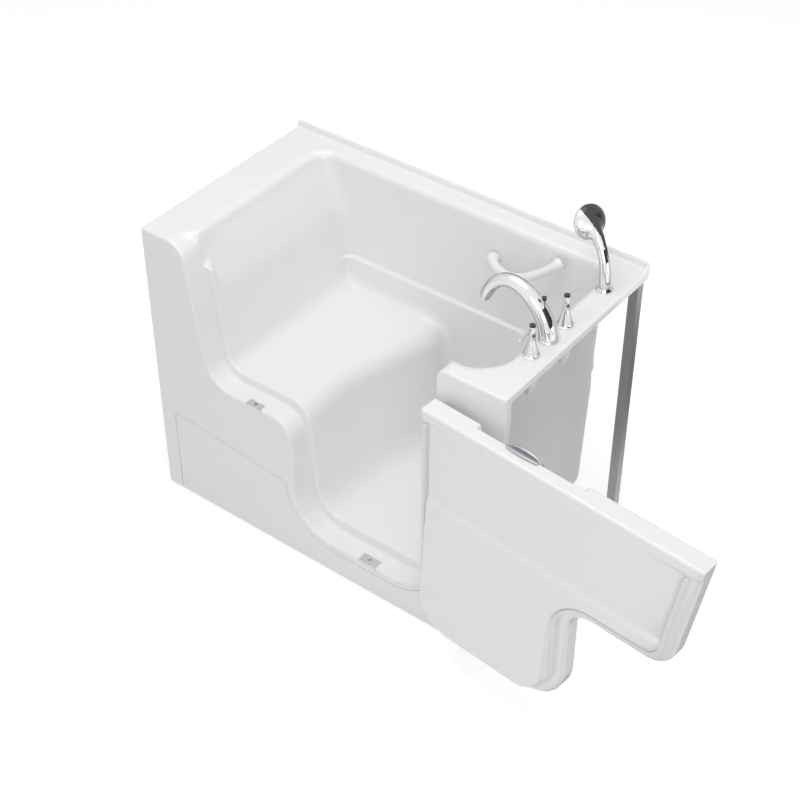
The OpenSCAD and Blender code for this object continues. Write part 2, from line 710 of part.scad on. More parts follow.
// Half widths: the grip stays round, the head spreads to a disc
function head_half(i) = i <= neck_n
  ? [grip_r + neck_swell * pow(i / neck_n, 3), grip_r]
  : let (v = (i - neck_n) / head_n * head_span - head_start, w = sqrt(max(head_tip_share, 1 - v * v)))
    [max(head_r * w, v < 0 ? grip_r + neck_swell : 0), max(head_back * w, v < 0 ? grip_r : neck_swell)];
// The hand shower is turned a little in its ring
module turned_shower() place() translate([tap_x, shower_y, 0]) rotate([0, 0, -shower_turn])
  translate([-tap_x, -shower_y, 0]) children();
module hand_shower() turned_shower() color(chrome) {
  difference() {
    swept(head_path, [for (i = [0 : neck_n + head_n]) let (h = head_half(i)) [h[1], h[0]]],
      [0, 1, 0], head_sides);
    translate(head_mid) rotate([0, -90 - head_lean, 0]) translate([0, 0, head_front])
      cylinder(h = head_r, r = 2 * head_r);
  }
  translate([tap_x, shower_y, deck_h - grip_below])
    cylinder(h = grip_below + ring_h + ring_neck_h, r = grip_r);
  translate([tap_x, shower_y, deck_h - grip_below - shower_tail_l])
    cylinder(h = shower_tail_l, r = shower_tail_r);
}
module shower_face() turned_shower() color("white") translate(head_mid) rotate([0, -90 - head_lean, 0])
  translate([0, 0, head_front]) cylinder(h = face_t, r = face_r);

// Latch catches folded over the front edge
module latch_catch(i) difference() {
  union() {
    block([bolt_xs[i] - catch_ws[i] / 2, -catch_t, catch_zs[i]],
      [bolt_xs[i] + catch_ws[i] / 2, catch_ds[i], catch_zs[i] + catch_t]);
    block([bolt_xs[i] - catch_ws[i] / 2, -catch_t, catch_zs[i] - catch_lip],
      [bolt_xs[i] + catch_ws[i] / 2, 0, catch_zs[i] + catch_t]);
  }
  translate([bolt_xs[i], bolt_ys[i], catch_zs[i] - over])
    cylinder(h = catch_t + 2 * over, r = bolt_r + bolt_fit);
}
module upper_catch() place() color(steel) latch_catch(0);
module lower_catch() place() color(steel) latch_catch(1);

// Hinge: even knuckles belong to the tub, odd ones to the door
module knuckles(first, side) for (i = [first : 2 : knuckle_n - 1])
  translate([hinge_x, hinge_y, hinge_z0 + i * knuckle_l + knuckle_gap / 2]) difference() {
    union() {
      cylinder(h = knuckle_l - knuckle_gap, r = knuckle_r);
      block([side > 0 ? pin_r : -knuckle_r, 0, 0], [side > 0 ? knuckle_r : -pin_r, -hinge_y - leaf_t,
        knuckle_l - knuckle_gap]);
    }
    translate([0, 0, -over]) cylinder(h = knuckle_l + 2 * over, r = pin_r + run_fit);
  }
module leaf(side) difference() {
  union() {
    knuckles(side > 0 ? 0 : 1, side);
    block([hinge_x + (side > 0 ? pin_r : -leaf_w - pin_r), -leaf_t - fit, hinge_z0],
      [hinge_x + (side > 0 ? leaf_w + pin_r : -pin_r), -fit, hinge_z0 + leaf_l]);
  }
  for (s = leaf_zs_share)
    translate([hinge_x + side * leaf_w * 3 / 4, -leaf_t - fit - over, hinge_z0 + s * leaf_l])
      rotate([-90, 0, 0]) cylinder(h = leaf_t + 2 * over, r = screw_r + run_fit);
}
module screws(side) for (s = leaf_zs_share)
  translate([hinge_x + side * leaf_w * 3 / 4, -leaf_t - fit, hinge_z0 + s * leaf_l]) rotate([-90, 0, 0]) {
    cylinder(h = screw_l, r = screw_r);
    translate([0, 0, -screw_head_h]) cylinder(h = screw_head_h, r = screw_head_r);
  }
module hinge_leaf_tub() place() color(steel) leaf(1);
module hinge_screws_tub() place() color(dark_steel) screws(1);
pin_head_r = 5;
pin_head_h = 3;
module hinge_pin() place() color(steel) translate([hinge_x, hinge_y, hinge_z0]) {
  cylinder(h = leaf_l, r = pin_r);
  for (z = [-pin_head_h, leaf_l]) translate([0, 0, z]) cylinder(h = pin_head_h, r = pin_head_r);
}

// The door is drawn shut and swung about the hinge
module on_door() place() translate([hinge_x, hinge_y, 0]) rotate([0, 0, door_swing])
  translate([-hinge_x, -hinge_y, 0]) children();
module hinge_leaf_door() on_door() color(steel) leaf(-1);
module hinge_screws_door() on_door() color(dark_steel) screws(-1);

hinge_inset = 25;
function edge_x(z) = rim_x + backrest_lean * (deck_h - z) / (deck_h - ledge_h);
// Door outline: the opening's own outline with a flat top
function door_corners(top, shift) = [
  [ledge_x, sill_h, sill_left_r], [column_x + shift, sill_h, sill_right_r],
  [column_x + shift, top, 0], [edge_x(top), top, 0],
  [rim_x + backrest_lean, ledge_h, ledge_in_r], [ledge_x, ledge_h, ledge_nose_r]];
function door_outline(d) = grown(door_corners(door_top_h + door_gap, 0), d - door_gap);
inner_shrink = door_gap + inner_inset;
function inner_outline(d) = grown(door_corners(door_top_h - band_h - fit + inner_shrink,
  inner_inset - hinge_inset), d - inner_shrink);
recess_x0 = 594;
recess_x1 = 914;
recess_drop = 172;
recess_z = door_top_h - recess_drop;
recess_r = 30;
recess_flare = 36;
recess_corners = [[recess_x0, recess_z, recess_r], [recess_x1, recess_z, recess_r],
  [recess_x1 + recess_flare, door_top_h + recess_r, 0], [recess_x0 - recess_flare / 2, door_top_h + recess_r, 0]];
latch_x = 780;
latch_drop = 32;
latch_z = door_top_h - latch_drop;
crank_r = 9.5;
crank_turn = 80;
crank_pin_r = 3;
latch_spindle_r = 7;
ring_t = 4;
lap_t = 4;
lap_w = 12;
band_z = door_top_h - band_h;
module outer_skin() difference() {
  union() {
    difference() {
      union() {
        slab(door_outline(0), 0, door_t);
        intersection() {
          slab(door_outline(0), 0, band_t);
          block([0, 0, band_z], [tub_l, band_t, door_top_h]);
        }
      }
      slab(door_outline(-skin_t), skin_t, door_t - ring_t);
      intersection() {
        slab(door_outline(-skin_t), skin_t, band_t - skin_t);
        block([0, 0, band_z + skin_t], [tub_l, band_t, door_top_h]);
      }
      slab(inner_outline(fit), door_t - 2 * ring_t, door_t + over);
    }
    intersection() {
      slab(door_outline(0), 0, recess_d + skin_t);
      slab(grown(recess_corners, skin_t), 0, recess_d + skin_t);
    }
  }
  slab(recess_corners, -over, recess_d);
  translate([latch_x, 0, latch_z]) rotate([-90, 0, 0])
    cylinder(h = 2 * recess_d, r = latch_spindle_r + run_fit);
  for (i = [0, 1]) translate([bolt_xs[i], bolt_ys[i], catch_zs[i]])
    cylinder(h = 2 * door_gap + skin_t, r = bolt_r + bolt_fit);
  for (s = leaf_zs_share) translate([hinge_x - leaf_w * 3 / 4, -over, hinge_z0 + s * leaf_l])
    rotate([-90, 0, 0]) cylinder(h = skin_t + 2 * over, r = screw_r + run_fit);
}
// The outer skin is laid up in five parts that meet on planes beside the recess and the ledge's nose
skin_cut = 2;
wing_x = ledge_x + door_gap - skin_cut;
strip_x = recess_x1 + recess_flare + 2 * skin_t;
pan_z = recess_z - skin_t - skin_cut;
nose_x = ledge_x - ledge_nose_r - 2 * skin_cut;
nose_z = ledge_h + door_gap + skin_t + skin_cut;
skin_back = band_t + over;
module door_outer_skin() on_door() color(white) intersection() {
  outer_skin();
  block([wing_x, -over, 0], [strip_x, skin_back, pan_z]);
}
module door_latch_pan() on_door() color(white) intersection() {
  outer_skin();
  block([wing_x, -over, pan_z], [strip_x, skin_back, deck_h]);
}
module door_skin_hinge() on_door() color(white) intersection() {
  outer_skin();
  block([strip_x, -over, 0], [tub_l, skin_back, deck_h]);
}
module door_skin_nose() on_door() color(white) intersection() {
  outer_skin();
  block([nose_x, -over, 0], [wing_x, skin_back, nose_z]);
}
module door_skin_wing() on_door() color(white) intersection() {
  outer_skin();
  union() {
    block([0, -over, 0], [nose_x, skin_back, deck_h]);
    block([0, -over, nose_z], [wing_x, skin_back, deck_h]);
  }
}

// Inner skin: a pan that stands out of the frame layer, thicker below the crease
crease_step = 10;
crease_half = 4;
module inner_depth(d) rotate([90, 0, 90]) linear_extrude(tub_l) polygon([
  [door_t - ring_t - lap_t - over, 0], [door_foot_t - d, 0], [door_foot_t - d, sill_h + rise_h],
  [band_t + crease_step - d, crease_h - crease_half], [band_t - d, crease_h + crease_half],
  [band_t - d, deck_h], [door_t - ring_t - lap_t - over, deck_h]]);
module door_inner_skin() on_door() color(white) difference() {
  union() {
    intersection() {
      slab(inner_outline(0), door_t - ring_t - lap_t, tub_w);
      inner_depth(0);
    }
    intersection() {
      slab(inner_outline(lap_w), door_t - ring_t - lap_t, door_t - ring_t);
      slab(door_outline(-skin_t - fit), 0, door_t);
    }
  }
  intersection() {
    slab(inner_outline(-skin_t), 0, tub_w);
    inner_depth(skin_t);
  }
}

// Seal: runs down both sides and along the bottom, on the frame layer's back face
seal_w = 10;
module door_seal() on_door() color(rubber) difference() {
  slab(inner_outline(seal_w), door_t, jamb_d - fit);
  slab(inner_outline(fit), door_t - over, jamb_d + over);
  block([0, 0, band_z - seal_w], [tub_l, tub_w, deck_h]);
}

// Tube frame inside the door
stile_w = 20;
stile_x = column_x - door_gap - skin_t - fit - stile_w;
stile_z = sill_h + sill_right_r + over;
bar_z = 610;
bar_x0 = 290;
module door_frame() on_door() color(steel) difference() {
  union() {
    tube([stile_x, skin_t, stile_z], [stile_x + stile_w, skin_t + stile_w, band_z], 2);
    tube([bar_x0, skin_t, bar_z], [stile_x, skin_t + stile_w, bar_z + stile_w], 0);
  }
  for (s = leaf_zs_share) translate([hinge_x - leaf_w * 3 / 4, 0, hinge_z0 + s * leaf_l])
    rotate([-90, 0, 0]) cylinder(h = skin_t + stile_w / 2, r = screw_r + run_fit);
}

// Latch: plate, handle, cam with a crank pin, and two bolts moved by the crank
plate_w = 126;
plate_h = 80;
plate_t = 3;
handle_hub_r = 13;
handle_hub_l = 13;
handle_l = 95;
handle_w = 18;
handle_t = 8;
handle_y = 6;
cam_r = 14;
cam_t = 3;
cam_y = recess_d + skin_t + run_fit * 4;
rod_r = 4;
rod_ys = [34, 42];
bar_t = 4;
bar_h = 10;
yoke_w = 22;
yoke_h = 18;
crank_y1 = rod_ys[1] + bar_t;
module at_latch() translate([latch_x, 0, latch_z]) children();
module handle_plate() on_door() color(chrome) difference() {
  at_latch() block([-plate_w / 2, recess_d - plate_t, -plate_h / 2], [plate_w / 2, recess_d, plate_h / 2]);
  at_latch() rotate([-90, 0, 0]) cylinder(h = 2 * recess_d, r = latch_spindle_r + run_fit);
}
module door_handle() on_door() color(chrome) at_latch() {
  translate([0, handle_y, 0]) rotate([-90, 0, 0]) cylinder(h = handle_hub_l - fit, r = handle_hub_r);
  translate([0, handle_y, 0]) rotate([-90, 0, 0]) cylinder(h = cam_y - handle_y, r = latch_spindle_r);
  block([-handle_l + handle_w / 2, handle_y, -handle_w / 2], [0, handle_y + handle_t, handle_w / 2]);
  translate([-handle_l + handle_w / 2, handle_y, 0]) rotate([-90, 0, 0]) cylinder(h = handle_t, r = handle_w / 2);
}
module latch_cam() on_door() color(dark_steel) at_latch() {
  translate([0, cam_y, 0]) rotate([-90, 0, 0]) cylinder(h = cam_t, r = cam_r);
  translate([-crank_r * cos(crank_turn / 2), cam_y, crank_r * sin(crank_turn / 2)]) rotate([-90, 0, 0])
    cylinder(h = crank_y1 - cam_y, r = crank_pin_r);
}
yoke_z = latch_z + crank_r * sin(crank_turn / 2);
yoke_x = latch_x - crank_r * (1 + cos(crank_turn / 2)) / 2;
slot_play = 0.5;
slot_l = crank_r * (1 - cos(crank_turn / 2)) + 2 * crank_pin_r + 4 * slot_play;
jog_h = 10;
module bolt(i) difference() {
  union() {
    translate([bolt_xs[i], rod_ys[i], catch_zs[i] + door_gap + skin_t + bolt_travel + jog_h / 2])
      cylinder(h = yoke_z - catch_zs[i] - door_gap - skin_t - bolt_travel - jog_h / 2, r = rod_r);
    block([bolt_xs[i] - bolt_r, bolt_ys[i] - bolt_r, catch_zs[i] + door_gap + skin_t + bolt_travel + over],
      [bolt_xs[i] + bolt_r, rod_ys[i] + rod_r, catch_zs[i] + door_gap + skin_t + bolt_travel + over + jog_h]);
    translate([bolt_xs[i], bolt_ys[i], catch_zs[i] + door_gap + slot_play])
      cylinder(h = skin_t + bolt_travel + jog_h / 2, r = bolt_r);
    block([min(bolt_xs[i], yoke_x), rod_ys[i] - bar_t / 2, yoke_z - bar_h / 2],
      [max(bolt_xs[i], yoke_x), rod_ys[i] + bar_t / 2, yoke_z + bar_h / 2]);
    block([yoke_x - yoke_w / 2, rod_ys[i] - bar_t / 2, yoke_z - yoke_h / 2],
      [yoke_x + yoke_w / 2, rod_ys[i] + bar_t / 2, yoke_z + yoke_h / 2]);
  }
  block([yoke_x - slot_l / 2, rod_ys[i] - bar_t, yoke_z - crank_pin_r - slot_play],
    [yoke_x + slot_l / 2, rod_ys[i] + bar_t, yoke_z + crank_pin_r + slot_play]);
}
module upper_bolt() on_door() color(steel) bolt(0);
module lower_bolt() on_door() color(steel) bolt(1);
guide_w = 18;
guide_h = 14;
guide_wall = 2;
guide_drops = [[265, 85], [525, 225]];
module guide(i, z) difference() {
  block([bolt_xs[i] - guide_w / 2, skin_t, z],
    [bolt_xs[i] + guide_w / 2, rod_ys[i] + rod_r + guide_wall, z + guide_h]);
  translate([bolt_xs[i], rod_ys[i], z - over]) cylinder(h = guide_h + 2 * over, r = rod_r + run_fit);
}
module bolt_guides() on_door() color("white")
  for (i = [0, 1]) for (d = guide_drops[i]) guide(i, latch_z - d);

tub_shell();
front_shell();
access_panel();
panel_clips();
base_rail_front();
base_rail_back();
cross_rail_left();
cross_rail_centre();
cross_rail_right();
post_front_left();
hinge_post();
post_back_left();
post_back_right();
seat_frame();
footwell_frame();
leveling_feet();
foot_nuts();
centre_foot();
drain_flange();
drain_stopper();
waste_pipe();
overflow_plate();
overflow_knob();
overflow_pipe();
grab_bar();
spout();
spout_outlet();
diverter_knob();
tap_bases();
left_lever();
right_lever();
valve_bodies();
mixer_pipe();
shower_ring();
shower_socket();
hand_shower();
shower_face();
upper_catch();
lower_catch();
hinge_leaf_tub();
hinge_pin();
hinge_screws_tub();
hinge_leaf_door();
hinge_screws_door();
door_outer_skin();
door_latch_pan();
door_skin_hinge();
door_skin_nose();
door_skin_wing();
door_inner_skin();
door_seal();
door_frame();
handle_plate();
door_handle();
latch_cam();
upper_bolt();
lower_bolt();
bolt_guides();
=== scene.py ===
# %% [markdown]
# # A walk-in bathtub with its door swung open
# The engineering model gives the places and sizes. This script dresses it: it builds the moulded
# acrylic skins, the door, the chrome taps and the hand shower as smooth meshes, gives every piece
# a procedural finish, and sets a soft white studio round it.

# %% Load the frame
import math
import bmesh
import bpy
import numpy as np
from mathutils import Matrix, Vector
from mathutils.geometry import delaunay_2d_cdt


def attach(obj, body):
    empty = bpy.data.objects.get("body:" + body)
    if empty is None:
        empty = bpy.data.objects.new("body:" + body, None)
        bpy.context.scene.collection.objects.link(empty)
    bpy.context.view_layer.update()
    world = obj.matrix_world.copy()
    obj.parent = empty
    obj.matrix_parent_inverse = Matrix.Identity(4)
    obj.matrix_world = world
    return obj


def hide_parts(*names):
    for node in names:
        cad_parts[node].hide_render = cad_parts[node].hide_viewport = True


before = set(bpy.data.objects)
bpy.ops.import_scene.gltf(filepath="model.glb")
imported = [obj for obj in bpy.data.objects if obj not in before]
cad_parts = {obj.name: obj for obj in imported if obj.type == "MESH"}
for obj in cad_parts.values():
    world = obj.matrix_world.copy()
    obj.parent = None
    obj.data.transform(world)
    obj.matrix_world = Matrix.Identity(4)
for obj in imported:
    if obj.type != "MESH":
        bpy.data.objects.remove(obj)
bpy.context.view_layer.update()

# %% [markdown]
# The tub is measured in millimetres from its front left floor corner: x along the front, y to
# the back, z up. The frame is in metres from the middle of the footprint, so every mesh goes
# through one change of units.

# %% Sizes of the tub
TUB_L, TUB_W, DECK, FLANGE = 1346.0, 756.0, 1047.0, 1067.0
SILL, FLOOR, LEDGE = 126.0, 166.0, 548.0
LEDGE_END, HINGE_SIDE = 567.0, 1114.0
WALL = 5.0
JAMB_D, BACK_Y, RELIEF = 74.0, 682.0, 3.2
SKY = 1700.0
MM = 0.001


def to_frame(points):
    points = np.asarray(points, float)
    return (points - np.array([TUB_L / 2, TUB_W / 2, 0.0])) * MM


# %% [markdown]
# ## Finishes
# Each finish is a Principled BSDF. A shared node group gives the soft drift of colour and
# gloss that every real surface has, and a second one gives the fine lines of brushed metal.
# Both read Object coordinates, so a finish stays on a piece that moves.

# %% Shared node group: drift of colour, gloss and height
def new_group(name, inputs, outputs):
    tree = bpy.data.node_groups.new(name, "ShaderNodeTree")
    for label, kind, value in inputs:
        sock = tree.interface.new_socket(label, in_out="INPUT", socket_type=kind)
        sock.default_value = value
    for label, kind in outputs:
        tree.interface.new_socket(label, in_out="OUTPUT", socket_type=kind)
    return tree, tree.nodes.new("NodeGroupInput"), tree.nodes.new("NodeGroupOutput")


def drift_group():
    tree, gin, gout = new_group("surface_drift", [
        ("Colour", "NodeSocketColor", (0.8, 0.8, 0.8, 1.0)), ("Shade", "NodeSocketFloat", 0.03),
        ("Roughness", "NodeSocketFloat", 0.2), ("Swing", "NodeSocketFloat", 0.04),
        ("Patch", "NodeSocketFloat", 6.0), ("Grain", "NodeSocketFloat", 260.0)],
        [("Colour", "NodeSocketColor"), ("Roughness", "NodeSocketFloat"),
         ("Height", "NodeSocketFloat")])
    add, link = tree.nodes.new, tree.links.new
    coords = add("ShaderNodeTexCoord")
    patch, grain = add("ShaderNodeTexNoise"), add("ShaderNodeTexNoise")
    patch.inputs["Detail"].default_value = 3.0
    grain.inputs["Detail"].default_value = 2.0
    for noise, size in ((patch, "Patch"), (grain, "Grain")):
        link(coords.outputs["Object"], noise.inputs["Vector"])
        link(gin.outputs[size], noise.inputs["Scale"])

    def maths(kind, a, b):
        node = add("ShaderNodeMath")
        node.operation = kind
        for slot, value in enumerate((a, b)):
            if isinstance(value, float):
                node.inputs[slot].default_value = value
            else:
                link(value, node.inputs[slot])
        return node.outputs[0]

    centred = maths("SUBTRACT", patch.outputs[0], 0.5)
    shade = maths("ADD", maths("MULTIPLY", centred, gin.outputs["Shade"]), 1.0)
    tint = add("ShaderNodeVectorMath")
    tint.operation = "SCALE"
    link(gin.outputs["Colour"], tint.inputs[0])
    link(shade, tint.inputs["Scale"])
    rough = maths("ADD", maths("MULTIPLY", centred, gin.outputs["Swing"]), gin.outputs["Roughness"])
    link(tint.outputs[0], gout.inputs["Colour"])
    link(rough, gout.inputs["Roughness"])
    link(grain.outputs[0], gout.inputs["Height"])
    return tree


DRIFT = drift_group()
print("node group:", DRIFT.name)


# %% Shared node group: brushed lines
def brush_group():
    tree, gin, gout = new_group("brushed_lines", [
        ("Stretch", "NodeSocketVector", (40.0, 40.0, 1.0)), ("Roughness", "NodeSocketFloat", 0.3),
        ("Swing", "NodeSocketFloat", 0.2)],
        [("Roughness", "NodeSocketFloat"), ("Height", "NodeSocketFloat")])
    add, link = tree.nodes.new, tree.links.new
    coords, scale, noise = (add("ShaderNode" + kind)
                            for kind in ("TexCoord", "VectorMath", "TexNoise"))
    scale.operation = "MULTIPLY"
    link(coords.outputs["Object"], scale.inputs[0])
    link(gin.outputs["Stretch"], scale.inputs[1])
    link(scale.outputs[0], noise.inputs["Vector"])
    noise.inputs["Scale"].default_value = 18.0
    noise.inputs["Detail"].default_value = 4.0
    mix = add("ShaderNodeMath")
    mix.operation = "MULTIPLY_ADD"
    link(noise.outputs[0], mix.inputs[0])
    link(gin.outputs["Swing"], mix.inputs[1])
    link(gin.outputs["Roughness"], mix.inputs[2])
    link(mix.outputs[0], gout.inputs["Roughness"])
    link(noise.outputs[0], gout.inputs["Height"])
    return tree


BRUSH = brush_group()
print("node group:", BRUSH.name)


# %% Finishes of the plastics, rubbers and metals
def finish(name, colour, rough, metallic=0.0, shade=0.03, swing=0.04, patch=6.0, grain=260.0,
           bump=0.02, depth=0.0002, coat=0.0, coat_rough=0.05, stretch=None, rim=None):
    """A finish; stretch gives it brushed lines, and rim is a painted dark reflection that the
    colour fades to where the surface turns away.
    """
    mat = bpy.data.materials.new(name)
    mat.use_nodes = True
    tree = mat.node_tree
    shader = tree.nodes["Principled BSDF"]
    shader.inputs["Metallic"].default_value = metallic
    shader.inputs["Coat Weight"].default_value = coat
    shader.inputs["Coat Roughness"].default_value = coat_rough
    drift = tree.nodes.new("ShaderNodeGroup")
    drift.node_tree = DRIFT
    drift.inputs["Colour"].default_value = (*colour, 1.0)
    for label, value in (("Shade", shade), ("Roughness", rough), ("Swing", swing),
                         ("Patch", patch), ("Grain", grain)):
        drift.inputs[label].default_value = value
    relief = tree.nodes.new("ShaderNodeBump")
    relief.inputs["Strength"].default_value = bump
    relief.inputs["Distance"].default_value = depth
    colour_out = drift.outputs["Colour"]
    # Painted dark reflection: the base colour fades to the rim colour where the surface turns away
    # from the view.
    if rim:
        facing, fade, painted_rim_reflection = (tree.nodes.new("ShaderNode" + kind)
                                for kind in ("LayerWeight", "Math", "Mix"))
        facing.inputs["Blend"].default_value = 0.5
        fade.operation = "POWER"
        fade.inputs[1].default_value = 1.6
        painted_rim_reflection.data_type = "RGBA"
        painted_rim_reflection.inputs[7].default_value = (*rim, 1.0)
        tree.links.new(facing.outputs["Facing"], fade.inputs[0])
        tree.links.new(fade.outputs[0], painted_rim_reflection.inputs[0])
        tree.links.new(colour_out, painted_rim_reflection.inputs[6])
        colour_out = painted_rim_reflection.outputs[2]
    tree.links.new(colour_out, shader.inputs["Base Color"])
    source = drift
    if stretch:
        source = tree.nodes.new("ShaderNodeGroup")
        source.node_tree = BRUSH
        source.inputs["Stretch"].default_value = stretch
        source.inputs["Roughness"].default_value = rough
        source.inputs["Swing"].default_value = swing
    tree.links.new(source.outputs["Roughness"], shader.inputs["Roughness"])
    tree.links.new(source.outputs["Height"], relief.inputs["Height"])
    tree.links.new(relief.outputs["Normal"], shader.inputs["Normal"])
    return mat


ACRYLIC = finish("white_acrylic", (0.9, 0.9, 0.9), 0.2, shade=0.012, swing=0.03, patch=3.0,
                 grain=45.0, bump=0.04, depth=0.0004, coat=0.35, coat_rough=0.06)
# The backing's grey is partly its own colour and partly painted shade for the hollow under the
# deck.
BACKING_WITH_PAINTED_SHADE = finish("sprayed_backing_painted_shade", (0.66, 0.66, 0.66), 0.34, shade=0.08, swing=0.12, patch=14.0,
                 grain=120.0, bump=0.12, depth=0.0006)
# The chrome's near-black rim colour is a painted dark reflection along the sides of its pipes.
CHROME = finish("polished_chrome", (0.82, 0.82, 0.83), 0.05, metallic=1.0, shade=0.02, swing=0.03,
                patch=30.0, grain=500.0, bump=0.01, depth=0.0001, rim=(0.05, 0.05, 0.055))
# Dark caps of the levers and the knob; on the hand shower's back the same finish is a painted dark
# reflection.
DARK_CAP_AND_PAINTED_REFLECTION = finish("smoked_cap_and_painted_reflection", (0.05, 0.05, 0.052), 0.14, metallic=0.2, shade=0.1, swing=0.08,
                     patch=40.0, grain=700.0, bump=0.03, depth=0.0001)
BRUSHED = finish("brushed_steel", (0.40, 0.40, 0.41), 0.3, metallic=1.0, swing=0.2, bump=0.12,
                 depth=0.0002, stretch=(60.0, 60.0, 1.5))
LATCH_STEEL = finish("latch_steel", (0.62, 0.62, 0.63), 0.22, metallic=1.0, swing=0.18, bump=0.08,
                     depth=0.0001, stretch=(1.5, 60.0, 60.0))
SCREW_STEEL = finish("screw_steel", (0.50, 0.50, 0.52), 0.32, metallic=1.0, shade=0.15, swing=0.2,
                     patch=80.0, grain=900.0, bump=0.1, depth=0.0001)
FOOT_RUBBER = finish("foot_rubber", (0.035, 0.035, 0.037), 0.62, shade=0.25, swing=0.2, patch=40.0,
                     grain=900.0, bump=0.3, depth=0.0003)
SEAL_RUBBER = finish("seal_rubber", (0.85, 0.85, 0.85), 0.45, shade=0.06, swing=0.1, patch=25.0,
                     grain=800.0, bump=0.15, depth=0.0002)
PIPE_WHITE = finish("pipe_plastic", (0.74, 0.74, 0.72), 0.42, shade=0.05, swing=0.1, patch=20.0,
                    grain=300.0, bump=0.08, depth=0.0002)
FACE_GREY = finish("spray_face", (0.30, 0.31, 0.32), 0.45, shade=0.08, swing=0.1, patch=60.0,
                   grain=900.0, bump=0.1, depth=0.0001)
print("finishes:", len(bpy.data.materials))


# %% [markdown]
# ## A mesher for moulded shapes
# A bathtub is one sheet that flows round every corner. Boxes with bevels can't do that, so the
# shape is written as a distance: below zero in the solid, above zero in the air. Two shapes
# blend with a chosen radius, and a net of four-sided faces is pulled tight on the zero level.

# %% Rounded outlines and their distance
def rounded_outline(corners):
    """Lines and arcs of an outline whose corners are (u, v, radius), anticlockwise."""
    spots = [np.array(c[:2], float) for c in corners]
    ends, arcs = [], []
    for i, corner in enumerate(corners):
        p, q, r = spots[i - 1], spots[i], spots[(i + 1) % len(spots)]
        if not corner[2]:
            ends.append((q, q))
            continue
        a, b = (p - q) / np.linalg.norm(p - q), (r - q) / np.linalg.norm(r - q)
        half = math.acos(float(a @ b)) / 2
        mid = a + b
        centre = q + mid / np.linalg.norm(mid) * corner[2] / math.sin(half)
        reach = corner[2] / math.tan(half)
        turn = math.copysign(1.0, (q - p)[0] * (r - q)[1] - (q - p)[1] * (r - q)[0])
        ends.append((q + a * reach, q + b * reach))
        arcs.append((centre, corner[2], q + a * reach - centre, q + b * reach - centre, turn))
    lines = [(ends[i][1], ends[(i + 1) % len(ends)][0]) for i in range(len(ends))]
    return [l for l in lines if np.linalg.norm(l[1] - l[0]) > 1e-6], arcs


def away(shape, u, v):
    """Signed distance to an outline, below zero inside it."""
    u, v = np.broadcast_arrays(np.asarray(u, float), np.asarray(v, float))
    best, side = np.full(u.shape, 1e9), np.full(u.shape, 1e9)
    for a, b in shape[0]:
        d = b - a
        length = math.hypot(d[0], d[1])
        t = np.clip(((u - a[0]) * d[0] + (v - a[1]) * d[1]) / length ** 2, 0.0, 1.0)
        dist = np.hypot(u - a[0] - t * d[0], v - a[1] - t * d[1])
        off = (d[1] * (u - a[0]) - d[0] * (v - a[1])) / length
        tie = (np.abs(dist - best) <= 1e-6) & (np.abs(off) > np.abs(side))
        near = (dist < best - 1e-6) | tie
        side = np.where(near, off, side)
        best = np.where(near, dist, best)
    result = np.copysign(best, side)
    for c, radius, s, e, turn in shape[1]:
        du, dv = u - c[0], v - c[1]
        rho = np.hypot(du, dv)
        inside = ((s[0] * dv - s[1] * du) * turn >= 0) & ((du * e[1] - dv * e[0]) * turn >= 0)
        near = inside & (np.abs(rho - radius) < best)
        best = np.where(near, np.abs(rho - radius), best)
        result = np.where(near, (rho - radius) * turn, result)
    return result


def outer_blend(a, b, r):
    """Both conditions hold, with their edge rounded to radius r."""
    corner = np.hypot(np.maximum(a + r, 0), np.maximum(b + r, 0))
    return np.minimum(-r, np.maximum(a, b)) + corner


def inner_blend(a, b, r):
    """Either condition holds, with the corner between them filled to radius r."""
    return -outer_blend(-a, -b, r)


def ease(lo, hi, value):
    """Smooth change from 0 at lo to 1 at hi."""
    t = np.clip((value - lo) / (hi - lo), 0.0, 1.0)
    return t * t * (3 - 2 * t)


# %% The net that is pulled onto a distance shape
OFF_FLAT = 0.3719


def steps(*runs):
    """Grid lines from runs of (start, end, spacing), shifted off the flats of the shape."""
    lines = [np.linspace(a, b, max(2, int(round((b - a) / s)) + 1)) for a, b, s in runs]
    return np.unique(np.round(np.concatenate(lines), 4)) + OFF_FLAT


def net_of(field, xs, ys, zs):
    """One point in every cell that the surface crosses, and a face round every edge it cuts."""
    grid = field(xs[:, None, None], ys[None, :, None], zs[None, None, :])
    grid = np.broadcast_to(grid, (len(xs), len(ys), len(zs)))
    solid = grid < 0
    cells = (len(xs) - 1, len(ys) - 1, len(zs) - 1)
    total, count = np.zeros((math.prod(cells), 3)), np.zeros(math.prod(cells))
    quads = []
    for axis in range(3):
        low = [slice(None)] * 3
        high = [slice(None)] * 3
        low[axis], high[axis] = slice(None, -1), slice(1, None)
        i = np.argwhere(solid[tuple(low)] != solid[tuple(high)])
        j = i.copy()
        j[:, axis] += 1
        fa, fb = grid[tuple(i.T)], grid[tuple(j.T)]
        spot = np.stack([xs[i[:, 0]], ys[i[:, 1]], zs[i[:, 2]]], 1)
        line = (xs, ys, zs)[axis]
        spot[:, axis] += fa / (fa - fb) * (line[j[:, axis]] - line[i[:, axis]])
        b, c = (axis + 1) % 3, (axis + 2) % 3
        around, fits = [], np.ones(len(i), bool)
        for db, dc in ((-1, -1), (0, -1), (0, 0), (-1, 0)):
            cell = i.copy()
            cell[:, b] += db
            cell[:, c] += dc
            ok = ((cell >= 0) & (cell < np.array(cells))).all(1)
            flat = np.ravel_multi_index(np.where(ok[:, None], cell, 0).T, cells)
            np.add.at(total, flat[ok], spot[ok])
            np.add.at(count, flat[ok], 1)
            around.append(flat)
            fits &= ok
        quad = np.stack(around, 1)[fits]
        flip = (fa > 0)[fits]
        quad[flip] = quad[flip][:, ::-1]
        quads.append(quad)
    used = count > 0
    number = np.cumsum(used) - 1
    return total[used] / count[used][:, None], number[np.concatenate(quads)]


